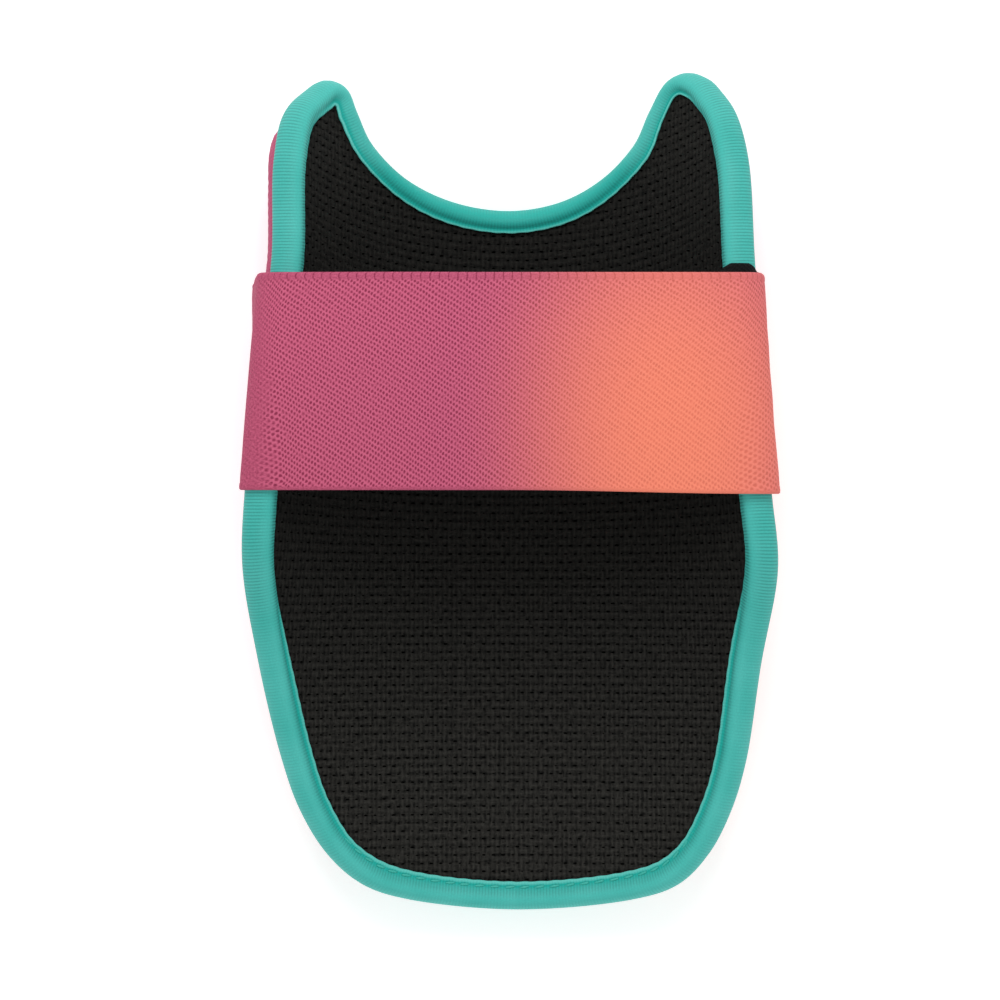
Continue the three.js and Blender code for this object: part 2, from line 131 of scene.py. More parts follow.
def along(y, column):
    """A smooth curve through one column of the sections, straight beyond its ends."""
    knots = SECTIONS["y"]
    values = SECTIONS[column]
    slopes = np.empty_like(values)
    slopes[1:-1] = (values[2:] - values[:-2]) / (knots[2:] - knots[:-2])
    slopes[0] = (values[1] - values[0]) / (knots[1] - knots[0])
    slopes[-1] = (values[-1] - values[-2]) / (knots[-1] - knots[-2])
    held = np.clip(y, knots[0], knots[-1])
    i = np.clip(np.searchsorted(knots, held, side="right") - 1, 0, len(knots) - 2)
    span = knots[i + 1] - knots[i]
    f = (held - knots[i]) / span
    here = (2 * f**3 - 3 * f**2 + 1) * values[i] + (f**3 - 2 * f**2 + f) * span * slopes[i]
    there = (3 * f**2 - 2 * f**3) * values[i + 1] + (f**3 - f**2) * span * slopes[i + 1]
    return here + there + (y - held) * np.where(y < knots[0], slopes[0], slopes[-1])


def bend(across, y, depth):
    """From the flat pattern to the moulded guard; depth is towards the arm from the lining's face."""
    radius = along(y, "radius")
    angle = across / radius
    x = BEND_AXIS_X + (radius - depth) * np.sin(angle)
    z = along(y, "base") + radius - (radius - depth) * np.cos(angle)
    return np.stack([x, y + np.zeros_like(x), z], axis=-1)


def unroll(x, y):
    """The place across the flat pattern of a place on the moulded guard."""
    radius = along(y, "radius")
    return radius * np.arcsin((x - BEND_AXIS_X) / radius)


def smooth_loop(corners, steps):
    """A closed centripetal Catmull-Rom curve through the corners, with steps from each to the next."""
    p0, p1, p2, p3 = (np.roll(corners, shift, axis=0)[:, None, :] for shift in (1, 0, -1, -2))
    spans = ((p0, p1), (p1, p2), (p2, p3))
    d0, d1, d2 = (np.linalg.norm(b - a, axis=2, keepdims=True) ** 0.5 for a, b in spans)
    leave = ((p1 - p0) / d0 - (p2 - p0) / (d0 + d1) + (p2 - p1) / d1) * d1
    arrive = ((p2 - p1) / d1 - (p3 - p1) / (d1 + d2) + (p3 - p2) / d2) * d1
    t = (np.arange(steps) / steps)[None, :, None]
    bow = -3 * p1 + 3 * p2 - 2 * leave - arrive
    twist = 2 * p1 - 2 * p2 + leave + arrive
    return (p1 + leave * t + bow * t**2 + twist * t**3).reshape(-1, 2)


def lengths_along(points):
    """Each point's distance from the start along a line of points."""
    return np.concatenate([[0], np.cumsum(np.linalg.norm(np.diff(points, axis=0), axis=1))])


def even_loop(points, pitch, steps):
    """The same closed curve in even steps, so many to a pitch; gives the pitch that fits too."""
    closed = np.vstack([points, points[:1]])
    lengths = lengths_along(closed)
    count = round(lengths[-1] / pitch) * steps
    wanted = np.arange(count) / count * lengths[-1]
    even = np.stack([np.interp(wanted, lengths, closed[:, axis]) for axis in (0, 1)], axis=1)
    return even, float(lengths[-1] / count * steps)


def bound_edge():
    """The bound edge's middle in the pattern, counter-clockwise, the way out from it and the rib pitch."""
    right_side = [(right, y) for y, _, right, _, _ in SECTION_ROWS]
    left_side = [(left, y) for y, left, _, _, _ in reversed(SECTION_ROWS)]
    scoop_right = [(right, y) for y, _, right in SCOOP_ROWS]
    scoop_left = [(left, y) for y, left, _ in reversed(SCOOP_ROWS)]
    outline = [TONGUE_TIP, *right_side, *RIGHT_HORN_TIP, *scoop_right]
    outline += [SCOOP_MIDDLE, *scoop_left, *LEFT_HORN_TIP, *left_side]
    plan = smooth_loop(np.array(outline) * MM, CURVE_STEPS)
    pattern = np.stack([unroll(*plan.T), plan[:, 1]], axis=1)
    edge, pitch = even_loop(pattern, RIB_PITCH, RIB_STEPS)
    travel = np.roll(edge, -RIB_STEPS, axis=0) - np.roll(edge, RIB_STEPS, axis=0)
    outward = travel[:, ::-1] * (1, -1)
    for _ in range(FAN_ROUNDS):
        outward = (np.roll(outward, -FAN_STEPS, axis=0) + outward + np.roll(outward, FAN_STEPS, axis=0)) / 3
    return edge, outward / np.linalg.norm(outward, axis=1, keepdims=True), pitch


EDGE, OUTWARD, FITTED_RIB_PITCH = bound_edge()
EDGE_LENGTH = len(EDGE) / RIB_STEPS * FITTED_RIB_PITCH


def edge_inset(points):
    """How far pattern points lie in from the bound edge's middle; below 0 outside it."""
    insets = np.empty(len(points))
    for k, point in enumerate(points):
        offsets = point - EDGE[::RIB_STEPS]
        nearest = np.argmin((offsets**2).sum(axis=1))
        way_out = OUTWARD[::RIB_STEPS][nearest]
        insets[k] = math.copysign(np.linalg.norm(offsets[nearest]), -offsets[nearest] @ way_out)
    return insets


def staggered_grid(low, high, pitch_across, pitch_along):
    """Points in rows over a rectangle, with every other row moved along by half a pitch."""
    rows = np.arange(low[1], high[1], pitch_along)
    columns = np.arange(low[0], high[0], pitch_across)
    across, y = np.meshgrid(columns, rows)
    across[1::2] += pitch_across / 2
    return np.column_stack([across.ravel(), y.ravel()])


def fill_outline(outline, cell):
    """Pattern points and triangles that fill an outline; the outline's own points come first."""
    inside = staggered_grid(outline.min(axis=0), outline.max(axis=0), cell, cell * math.sqrt(0.75))
    inside = inside[edge_inset(inside) > edge_inset(outline[:1])[0] + cell / 2]
    corners = [Vector(p) for p in np.vstack([outline, inside])]
    ring = [(k, (k + 1) % len(outline)) for k in range(len(outline))]
    points, _, triangles, _, _, _ = delaunay_2d_cdt(corners, ring, [], INSIDE_ONLY, SAME_PLACE)
    return np.array(points), [list(triangle) for triangle in triangles]


def eased(value, start, end):
    """A share that goes smoothly from 0 at start to 1 at end."""
    t = np.clip((value - start) / (end - start), 0, 1)
    return t * t * (3 - 2 * t)


def side_swell(across, y):
    """How much thicker the foam is along the upper left wall, which bulges out beyond the tape."""
    heights, scoop_left, _ = np.array(SCOOP_ROWS[::-1]).T * MM
    to_scoop = unroll(np.interp(y, heights, scoop_left), y) - across
    closer = SWELL_CLOSER * eased(y, *SWELL_CLOSER_Y)
    from_wall = across - unroll(along(y, "left"), y) + closer
    start, crest = SWELL_FROM_WALL
    swell = SWELL * eased(from_wall, start, crest)
    swell *= eased(to_scoop, *SWELL_FROM_SCOOP)
    swell *= 1 - eased(from_wall, crest, crest + SWELL_FADE)
    return swell * eased(y, *SWELL_START_Y) * (1 - eased(y, *SWELL_END_Y))


def pad_outer_face(pattern, inset):
    """The pad's outer face, flattened softly where it lies on the surface or on the strap below it."""
    crown = (PAD_THICKNESS - PAD_EDGE_THICKNESS) * eased(inset + PAD_REACH, 0, PAD_TAPER_LENGTH)
    depth = PAD_INNER_DEPTH - PAD_EDGE_THICKNESS - crown
    points = bend(*pattern.T, depth - side_swell(*pattern.T))
    on_strap = eased(pattern[:, 1], STRAP_LOWER_Y - STRAP_SEAT_RISE_LENGTH, STRAP_LOWER_Y)
    lowest = SURFACE_Z + (STRAP_SEAT_Z - SURFACE_Z) * on_strap
    above = points[:, 2] - lowest
    points[:, 2] = lowest + (above + np.sqrt(above**2 + FLATTEN_BLEND**2)) / 2
    return points


CLOTH_UV = "flat_pattern"


def add_mesh(name, points, faces=()):
    """A new mesh object of points and faces."""
    mesh = bpy.data.meshes.new(name)
    mesh.from_pydata(np.asarray(points).tolist(), [], faces)
    return add_object(name, mesh)


def lay_flat(mesh, flat_points):
    """Writes each point's place on the flat cloth, in metres, as the mesh's UV map."""
    corners = np.empty(len(mesh.loops), dtype=np.int32)
    mesh.loops.foreach_get("vertex_index", corners)
    if CLOTH_UV in mesh.uv_layers:
        mesh.uv_layers.remove(mesh.uv_layers[CLOTH_UV])
    layer = mesh.uv_layers.new(name=CLOTH_UV)
    layer.uv.foreach_set("vector", np.asarray(flat_points, dtype=np.float32)[corners].ravel())


def new_piece(name, points, faces, material, flat_points):
    """A smooth mesh object that knows its flat cloth."""
    piece = add_mesh(name, points, faces)
    piece.data.shade_smooth()
    lay_flat(piece.data, flat_points)
    piece.data.materials.append(material)
    return piece


def paint(red, green, blue):
    """A linear colour from screen values of 0 to 255."""
    screen = np.array([red, green, blue]) / 255
    linear = np.where(screen <= 0.04045, screen / 12.92, ((screen + 0.055) / 1.055) ** 2.4)
    return (*linear.tolist(), 1.0)


def add_node(tree, kind, inputs=None, output=0, **settings):
    """One output of a new node, with each input set to a value or linked from a socket."""
    node = tree.nodes.new(kind)
    for name, value in settings.items():
        setattr(node, name, value)
    for socket, value in (inputs or {}).items():
        if isinstance(value, bpy.types.NodeSocket):
            tree.links.new(value, node.inputs[socket])
        else:
            node.inputs[socket].default_value = value
    return node.outputs[output]


def sums(tree, operation, first, second=0.0, third=0.0):
    """The result of a Math node."""
    return add_node(tree, "ShaderNodeMath", {0: first, 1: second, 2: third}, operation=operation)


def vector_sums(tree, operation, first, second, third=(0.0, 0.0, 0.0)):
    """The result of a Vector Math node."""
    return add_node(tree, "ShaderNodeVectorMath", {0: first, 1: second, 2: third}, operation=operation)


def ramp(tree, value, start, end, first=0.0, last=1.0, kind="LINEAR"):
    """Goes from first to last as a value goes from start to end."""
    inputs = {0: value, 1: start, 2: end, 3: first, 4: last}
    return add_node(tree, "ShaderNodeMapRange", inputs, interpolation_type=kind)


def waves(tree, distance, pitch):
    """A wave from -1 to 1 along a distance, with a crest at each pitch."""
    return sums(tree, "COSINE", sums(tree, "MULTIPLY", distance, math.tau / pitch))


def grain(tree, place, scale, detail, output=0):
    """Noise round 0.5 over a place, as one number or as a colour."""
    return add_node(tree, "ShaderNodeTexNoise", {"Vector": place, "Scale": scale, "Detail": detail}, output)


def cloth_place(tree):
    """The place on the flat cloth."""
    return add_node(tree, "ShaderNodeUVMap", uv_map=CLOTH_UV)


def object_place(tree):
    """The place on the guard."""
    return add_node(tree, "ShaderNodeTexCoord", output="Object")


def split(tree, place):
    """The three parts of a place."""
    return add_node(tree, "ShaderNodeSeparateXYZ", {0: place}, slice(3))


def blend(tree, share, first, second, blend_type="MIX"):
    """The result of a colour Mix node."""
    inputs = {0: share, 6: first, 7: second}
    return add_node(tree, "ShaderNodeMix", inputs, 2, data_type="RGBA", blend_type=blend_type)


CLOTH_SPECULAR = 0.25
SHEEN_ROUGHNESS = 0.5


def new_cloth(name, roughness, sheen=0.0):
    """A new material for cloth, its tree and its shader."""
    material = bpy.data.materials.new(name)
    material.use_nodes = True
    shader = material.node_tree.nodes["Principled BSDF"]
    shader.inputs["Roughness"].default_value = roughness
    shader.inputs["Specular IOR Level"].default_value = CLOTH_SPECULAR
    shader.inputs["Sheen Weight"].default_value = sheen
    shader.inputs["Sheen Roughness"].default_value = SHEEN_ROUGHNESS
    return material, material.node_tree, shader


KNIT_WANDER_SCALE = 420.0
KNIT_WANDER = 0.8
FALLING_SHARE = 0.42
RISING_SHARE = 0.40
UPRIGHT_SHARE = 0.26


def stitch_lattice(tree, column_pitch, course_pitch):
    """Knit loops on the flat cloth, from -1 in the gaps to 1; each column is a third of a course lower."""
    place = cloth_place(tree)
    noise = grain(tree, place, KNIT_WANDER_SCALE, 1.0, "Color")
    wander = vector_sums(tree, "SUBTRACT", noise, (0.5, 0.5, 0.5))
    amount = (KNIT_WANDER * column_pitch, KNIT_WANDER * column_pitch, 0.0)
    across, lengthwise, _ = split(tree, vector_sums(tree, "MULTIPLY_ADD", wander, amount, place))
    column = sums(tree, "MULTIPLY", across, math.tau / column_pitch)
    course = sums(tree, "MULTIPLY", lengthwise, math.tau / course_pitch)
    falling = sums(tree, "COSINE", sums(tree, "MULTIPLY_ADD", column, 1 / 3, course))
    rising = sums(tree, "COSINE", sums(tree, "SUBTRACT", sums(tree, "MULTIPLY", column, 2 / 3), course))
    upright = sums(tree, "COSINE", column)
    loops = sums(tree, "MULTIPLY", falling, FALLING_SHARE)
    loops = sums(tree, "MULTIPLY_ADD", rising, RISING_SHARE, loops)
    return sums(tree, "MULTIPLY_ADD", upright, -UPRIGHT_SHARE, loops), place


def finish_cloth(tree, shader, colour, height, distance):
    """Links a colour, and a height as bump, to the shader."""
    bump = add_node(tree, "ShaderNodeBump", {"Height": height, "Distance": distance, "Strength": 1.0})
    tree.links.new(colour, shader.inputs["Base Color"])
    tree.links.new(bump, shader.inputs["Normal"])


def printed_glow(tree, centre, reach):
    """The print's share of its glow, which fades out round one place on the guard."""
    off = 0.0
    for place, middle, length in zip(split(tree, object_place(tree)), centre, reach):
        away = sums(tree, "DIVIDE", sums(tree, "SUBTRACT", place, middle), length)
        off = sums(tree, "MULTIPLY_ADD", away, away, off)
    return ramp(tree, sums(tree, "SQRT", off), 0.0, 1.0, 1.0, 0.0, "SMOOTHERSTEP")


COVER_COLOURS = (paint(188, 72, 112), paint(247, 136, 108))
COVER_GLOW_CENTRE = in_mm(12.0, -40.0)
COVER_GLOW_REACH = in_mm(90.0, 130.0)
COVER_PITCHES = in_mm(0.55, 0.9)
COVER_BUMP = 0.05 * MM
# Shares of the colour in the gaps and on the loops
COVER_SHADES = (0.84, 1.06)


def shell_cover():
    """Printed knit over foam: fine staggered loops, magenta with an orange glow low on the guard."""
    material, tree, shader = new_cloth("shell_cover", roughness=0.8, sheen=0.05)
    loops, _ = stitch_lattice(tree, *COVER_PITCHES)
    glow = printed_glow(tree, COVER_GLOW_CENTRE, COVER_GLOW_REACH)
    printed = blend(tree, glow, *COVER_COLOURS)
    shade = ramp(tree, loops, -1.0, 1.0, *COVER_SHADES)
    finish_cloth(tree, shader, blend(tree, 1.0, printed, shade, "MULTIPLY"), loops, COVER_BUMP)
    return material


def slab_faces(triangles, count, rim):
    """Faces of a closed slab whose back has the same count of points, with a wall round its rim."""
    back = [[count + c, count + b, count + a] for a, b, c in triangles]
    wall = [[count + k, count + (k + 1) % rim, (k + 1) % rim, k] for k in range(rim)]
    return triangles + back + wall


def make_shell():
    """The closed pad: a plain inner face, a crowned outer face and the rim under the tape."""
    outline = (EDGE + OUTWARD * PAD_REACH)[::RIB_STEPS]
    pattern, triangles = fill_outline(outline, PAD_CELL)
    inset = edge_inset(pattern)
    inner = bend(*pattern.T, PAD_INNER_DEPTH)
    outer = pad_outer_face(pattern, inset)
    faces = slab_faces(triangles, len(pattern), len(outline))
    flat = np.vstack([pattern, pattern])
    return new_piece("padded_shell", np.vstack([inner, outer]), faces, shell_cover(), flat)


shell = make_shell()
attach(shell, "root")
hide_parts("outer_shell")

# Mesh lining
# Black spacer mesh, a thick knit with rows of small holes in its face, laid on the inside of the pad.
# It is cut to the pad's outline, and its edge is held under the tape. The rows were straight on the
# roll, and moulding has lifted their ends towards the horns. Its colour is darker near the strap, as
# painted shadow of the strap, and paler towards the tongue, as painted light. Its holes are painted
# darker inside as painted shade, less so towards the tongue.
LINING_REACH = -0.8 * MM
LINING_CELL = 4.0 * MM
HOLE_PITCH_ACROSS = 2.3 * MM
HOLE_PITCH_ALONG = 1.95 * MM
HOLE_RADIUS = 0.31 * MM
HOLE_FLOOR_RADIUS = 0.22 * MM
HOLE_DEPTH = 0.85 * MM
HOLE_SIDES = 6
HOLE_STRETCH = 2.0
HOLE_UNEVEN = 0.55
HOLE_SEED = 7
# Share of the way down a hole, which masks the painted shade in the holes
HOLE_SHADE_MASK = "painted_hole_shade"
HOLE_EDGE_MARGIN = 3.0 * MM
ROW_LIFT = 3.6
ROW_LIFT_Y = in_mm(-30.0, 60.0)
# Painted shadow of the strap: the lining is darkest round this middle of the strap, and paler towards the
# tongue as painted light
STRAP_SHADE_MIDDLE_Y = 25.8 * MM
PAINTED_STRAP_SHADE_REACH = in_mm(25.0, 105.0)
PAINTED_STRAP_SHADE_SHARES = (0.65, 1.22)
# Where the painted shade in the holes grows lighter, towards the tongue
HOLE_SHADE_LIGHTER_Y = in_mm(-10.0, -60.0)
LINING_SPECULAR = 0.12
LINING_BUMP = 0.12 * MM
FLECK_SCALE = 1500.0
FLECK_SQUEEZE = 0.35
FLECK_CONTRAST = 3.2
FLECK_OFFSET = -1.3
YARN_RELIEF = 0.22
ROW_RELIEF = 0.2
KNIT_RANGE = (-0.2, 1.2)
YARN_COLOURS = (paint(8, 8, 7), paint(46, 45, 42))
PAINTED_HOLE_SHADES = (paint(4, 4, 4), paint(26, 26, 25))
CUTTER_OVERLAP = 0.1 * MM
HOLE_RIM_ANGLE = math.radians(35)

SOCKET_KINDS = {float: "Float", int: "Int", bpy.types.Object: "Object", bpy.types.Material: "Material"}


def geometry_tree(name, values):
    """A Geometry Nodes tree with an input named for each value; gives its inputs and outputs too."""
    tree = bpy.data.node_groups.new(name, "GeometryNodeTree")
    tree.interface.new_socket("Geometry", in_out="INPUT", socket_type="NodeSocketGeometry")
    for given, value in values.items():
        kind = "NodeSocket" + SOCKET_KINDS[type(value)]
        tree.interface.new_socket(given, in_out="INPUT", socket_type=kind)
    tree.interface.new_socket("Geometry", in_out="OUTPUT", socket_type="NodeSocketGeometry")
    return tree, tree.nodes.new("NodeGroupInput").outputs, tree.nodes.new("NodeGroupOutput").inputs


def end_tree(tree, geometry, material, result):
    """The tree, made to realize its geometry, give it its material and pass it out."""
    real = add_node(tree, "GeometryNodeRealizeInstances", {0: geometry})
    finished = add_node(tree, "GeometryNodeSetMaterial", {"Geometry": real, "Material": material})
    tree.links.new(finished, result[0])
    return tree


def run_tree(piece, make_tree, values):
    """Runs a tree with its values on a piece and keeps the result as the piece's plain mesh."""
    tree = make_tree(values)
    modifier = piece.modifiers.new(tree.name, "NODES")
    modifier.node_group = tree
    for item in tree.interface.items_tree:
        if item.in_out == "INPUT" and item.name in values:
            modifier[item.identifier] = values[item.name]
    evaluated = piece.evaluated_get(bpy.context.evaluated_depsgraph_get())
    made = bpy.data.meshes.new_from_object(evaluated)
    piece.modifiers.remove(modifier)
    piece.data = made


def perforation_tree(values):
    """Cuts a tapered blind hole into the flat mesh at each point of another object."""
    tree, given, result = geometry_tree("mesh_perforations", values)
    places = add_node(tree, "GeometryNodeObjectInfo", {0: given["Hole Places"]}, "Geometry")
    cutter = add_node(tree, "GeometryNodeMeshCone", {
        "Vertices": given["Hole Sides"], "Radius Top": given["Hole Radius"],
        "Radius Bottom": given["Floor Radius"], "Depth": given["Hole Depth"]})
    smallest = sums(tree, "SUBTRACT", 1.0, given["Unevenness"])
    uneven = add_node(tree, "FunctionNodeRandomValue", {2: smallest, 3: 1.0, "Seed": given["Seed"]}, 1)
    stretched = sums(tree, "MULTIPLY", uneven, given["Hole Stretch"])
    size = add_node(tree, "ShaderNodeCombineXYZ", {0: stretched, 1: uneven, 2: 1.0})
    cutters = add_node(tree, "GeometryNodeInstanceOnPoints", {
        "Points": places, "Instance": cutter, "Scale": size})
    solid_cutters = add_node(tree, "GeometryNodeRealizeInstances", {0: cutters})
    cut = add_node(tree, "GeometryNodeMeshBoolean", {0: given["Geometry"], 1: solid_cutters},
                   operation="DIFFERENCE", solver="MANIFOLD")
    return end_tree(tree, cut, given["Material"], result)


def row_lift(across, y):
    """How far moulding has lifted the rows of holes at a place on the pattern."""
    return ROW_LIFT * eased(y, *ROW_LIFT_Y) * across**2


def attribute(tree, name):
    """A number that a piece carries on its points."""
    return add_node(tree, "ShaderNodeAttribute", output="Fac", attribute_name=name)


def lining_mesh():
    """Black knit: upright yarns crossed by rows, with painted shade in its holes and painted strap shadow.
    """
    material, tree, shader = new_cloth("lining_mesh", roughness=0.9)
    shader.inputs["Specular IOR Level"].default_value = LINING_SPECULAR
    place = cloth_place(tree)
    across, lengthwise, _ = split(tree, place)
    flecks = []
    for squeeze in ((FLECK_SQUEEZE, 1.0, 1.0), (1.0, FLECK_SQUEEZE, 1.0)):
        lying = vector_sums(tree, "MULTIPLY", place, squeeze)
        flecks.append(grain(tree, lying, FLECK_SCALE, 2.0))
    knit = sums(tree, "MULTIPLY_ADD", sums(tree, "MAXIMUM", *flecks), FLECK_CONTRAST, FLECK_OFFSET)
    knit = sums(tree, "MULTIPLY_ADD", waves(tree, lengthwise, HOLE_PITCH_ALONG), ROW_RELIEF, knit)
    knit = sums(tree, "MULTIPLY_ADD", waves(tree, across, HOLE_PITCH_ACROSS / 2), YARN_RELIEF, knit)
    yarn = blend(tree, ramp(tree, knit, *KNIT_RANGE), *YARN_COLOURS)
    # Painted shade in the holes, lighter towards the tongue
    hole = blend(tree, ramp(tree, lengthwise, *HOLE_SHADE_LIGHTER_Y), *PAINTED_HOLE_SHADES)
    pierced = blend(tree, attribute(tree, HOLE_SHADE_MASK), yarn, hole)
    # Painted shadow of the strap, with painted light towards the tongue
    from_strap = sums(tree, "ABSOLUTE", sums(tree, "SUBTRACT", lengthwise, STRAP_SHADE_MIDDLE_Y))
    painted_strap_shade = ramp(tree, from_strap, *PAINTED_STRAP_SHADE_REACH, *PAINTED_STRAP_SHADE_SHARES, "SMOOTHSTEP")
    finish_cloth(tree, shader, blend(tree, 1.0, pierced, painted_strap_shade, "MULTIPLY"), knit, LINING_BUMP)
    return material


def carry(mesh, name, values, kind="FLOAT"):
    """Has a mesh carry a number or a vector on each of its points."""
    data = mesh.attributes.new(name, kind, "POINT").data
    data.foreach_set("value" if kind == "FLOAT" else "vector", np.ravel(values).astype(np.float32))


def make_lining():
    """The flat slab, perforated and then bent to the guard; gives its flat area too."""
    outline = (EDGE + OUTWARD * LINING_REACH)[::RIB_STEPS]
    pattern, triangles = fill_outline(outline, LINING_CELL)
    flat = np.vstack([pattern, pattern])
    depths = np.repeat([0.0, -LINING_THICKNESS], len(pattern))
    faces = slab_faces(triangles, len(pattern), len(outline))
    material = lining_mesh()
    slab = new_piece("mesh_lining", np.column_stack([flat, depths]), faces, material, flat)
    rows = staggered_grid(pattern.min(axis=0), pattern.max(axis=0), HOLE_PITCH_ACROSS, HOLE_PITCH_ALONG)
    rows[:, 1] += row_lift(*rows.T)
    rows = rows[edge_inset(rows) > HOLE_EDGE_MARGIN]
    places = add_mesh("hole_places", np.column_stack([rows, np.full(len(rows), -HOLE_DEPTH)]))
    run_tree(slab, perforation_tree, {
        "Hole Places": places, "Hole Radius": HOLE_RADIUS, "Floor Radius": HOLE_FLOOR_RADIUS,
        "Hole Depth": HOLE_DEPTH + CUTTER_OVERLAP, "Hole Sides": HOLE_SIDES, "Hole Stretch": HOLE_STRETCH,
        "Unevenness": HOLE_UNEVEN, "Seed": HOLE_SEED, "Material": material})
    bpy.data.objects.remove(places)
    mesh = slab.data
    points = np.empty(len(mesh.vertices) * 3, dtype=np.float32)
    mesh.vertices.foreach_get("co", points)
    x, y, depth = points.reshape(-1, 3).astype(float).T
    mesh.vertices.foreach_set("co", bend(x, y, depth).astype(np.float32).ravel())
    lay_flat(mesh, np.column_stack([x, y - row_lift(x, y)]))
    # Depth down each hole, for the painted shade in the holes
    carry(mesh, HOLE_SHADE_MASK, np.clip(-depth / HOLE_DEPTH, 0, 1))
    mesh.shade_smooth()
    mesh.set_sharp_from_angle(angle=HOLE_RIM_ANGLE)
    mesh.update()
    ahead = np.roll(outline, -1, axis=0)
    area = (outline[:, 0] * ahead[:, 1] - outline[:, 1] * ahead[:, 0]).sum() / 2
    return slab, area


lining, LINING_AREA = make_lining()
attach(lining, "root")
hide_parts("lining")

# Edge binding
# Ribbed tape folded over the edges of the pad and the lining, all the way round the guard.
# It is sewn through both legs in a groove close to its selvedges, and rolls over the edge between them.
# Reach is outward from the middle of the edge and depth is towards the arm. Ribbed is the share of the
# ribs and of the painted shade between them, unshaded goes from the painted shade of the groove to the
# face's colour, and pale is the share of selvedge yarn.
# Along the upper walls the inner leg is tucked down to the lining, so that its groove doesn't show.
TAPE_COLUMNS = ("reach", "depth", "tucked_depth", "ribbed", "unshaded", "pale")
TAPE_FACE_ROWS = [
    (-3.45, 0.30, 0.10, 0, 0.7, 0.3),
    (-3.45, 0.74, 0.35, 0.1, 1, 1),
    (-3.05, 0.80, 0.72, 0.5, 0.8, 0.4),
    (-2.70, 0.54, 0.92, 0.7, 0, 0),
    (-2.20, 0.55, 1.12, 0.9, 0.3, 0),
    (-1.75, 1.00, 1.30, 1, 0.9, 0),
    (-1.20, 1.40, 1.47, 1, 1, 0),
    (-0.35, 1.66, 1.66, 0.4, 1, 0),
    (0.55, 1.45, 1.45, 0.15, 1, 0),
    (1.40, 0.75, 0.75, 0.4, 1, 0),
    (2.10, -0.45, -0.45, 0.7, 1, 0),
    (2.52, -1.80, -1.80, 0.7, 1, 0),
    (2.60, -3.05, -3.05, 0.7, 1, 0),
    (2.30, -4.35, -4.35, 0.7, 1, 0),
    (1.55, -5.32, -5.32, 0.7, 1, 0),
    (0.35, -5.85, -5.85, 0.7, 1, 0),
    (-1.65, -6.18, -6.18, 0.7, 0.8, 0),
    (-2.20, -5.98, -5.98, 0.4, 0, 0),
    (-2.75, -6.12, -6.12, 0.2, 0.1, 0),
    (-3.10, -6.64, -6.64, 0.2, 0.9, 0.5),
    (-3.50, -6.62, -6.62, 0.1, 1, 1),
]
TAPE_BACK_ROWS = [
    (-3.50, -6.14, -6.14, 0, 0, 0),
    (-0.20, -5.45, -5.45, 0, 0, 0),
    (1.42, -5.02, -5.02, 0, 0, 0),
    (1.60, -1.30, -1.30, 0, 0, 0),
    (-0.70, 0.12, 0.12, 0, 0, 0),
    (-3.35, 0.12, 0.08, 0, 0, 0),
]
TAPE_FACE_COUNT = len(TAPE_FACE_ROWS)
TAPE = dict(zip(TAPE_COLUMNS, np.array(TAPE_FACE_ROWS + TAPE_BACK_ROWS).T))
OUTER_LEG_DEPTH = -5.0 * MM
INNER_LEG_START = -1.2 * MM
TONGUE_LEG_MORE = 0.35
TONGUE_Y = in_mm(-94.0, -84.0)
SCOOP_LEG_LESS = 0.18
# How much darker the scoop's tape is painted, as painted shade
SCOOP_PAINTED_SHADE = 0.7
SCOOP_Y = in_mm(75.0, 85.0)
LEFT_HORN_LEG_MORE = 0.25
RIGHT_HORN_LEG_LESS = 0.25
HORN_Y = in_mm(80.0, 92.0)
LEFT_WALL_LEG_LESS = 0.3
LEFT_WALL_START_Y = in_mm(-50.0, -26.0)
LEFT_WALL_END_Y = in_mm(-20.0, -6.0)
RIB_HEIGHT = 0.03 * MM
SEWN_RIB_SHARE = 0.4
SEAM_REACH = -2.5 * MM
SEAM_PITCH = 3.7 * MM
SELVEDGE_PULL = 0.05 * MM
SELVEDGE_REACH = -2.9 * MM
TUCKED_Y = in_mm(-36.0, -22.0)
# Ranges of how far the edge faces: to the horns in the scoop, and sideways at the left horn and the walls
SCOOP_FACING = (0.4, 0.8)
LEFT_HORN_FACING = (-0.4, 0.3)
WALL_FACING = (0.3, 0.8)
FACE_TEALS = (paint(52, 178, 167), paint(86, 196, 187))
# Colour of the painted shade in the groove
PAINTED_GROOVE_SHADE_TEAL = paint(0, 170, 158)
SELVEDGE_TEAL = paint(104, 208, 196)
PATCH_SCALE = 90.0
TAPE_YARN_SCALE = 2600.0
TAPE_BUMP = 0.03 * MM
FUZZ_SHADES = (0.94, 1.05)
# Painted shade in the valleys between the ribs
PAINTED_RIB_SHADE_RANGE = (-1.0, 0.2)
PAINTED_RIB_SHADE_DARKNESS = 0.5
NOISE_RANGE = (0.3, 0.7)
ALONG = "along_edge"
# Share of the raised ribs and of the painted shade between them
RIBS_AND_RIB_SHADE = "ribbed"
# Name of the painted shade of the groove and the scoop, 1 where unshaded
PAINTED_TAPE_SHADE = "painted_tape_shade"
PALE = "selvedge_share"


def carried(tree, name, kind="FLOAT"):
    """What the mesh in a Geometry Nodes tree carries under a name."""
    return add_node(tree, "GeometryNodeInputNamedAttribute", {"Name": name}, data_type=kind)


def rib_tree(values):
    """Raises ribs across a tape by its distance along the edge."""
    tree, given, result = geometry_tree("tape_ribs", values)
    turns = sums(tree, "MULTIPLY", sums(tree, "DIVIDE", carried(tree, ALONG), given["Rib Pitch"]), math.tau)
    wave = sums(tree, "MULTIPLY", sums(tree, "COSINE", turns), carried(tree, RIBS_AND_RIB_SHADE))
    height = sums(tree, "MULTIPLY", wave, given["Rib Height"])
    normal = add_node(tree, "GeometryNodeInputNormal")
    offset = add_node(tree, "ShaderNodeVectorMath", {0: normal, "Scale": height}, operation="SCALE")
    raised = add_node(tree, "GeometryNodeSetPosition", {"Geometry": given["Geometry"], "Offset": offset})
    return end_tree(tree, raised, given["Material"], result)


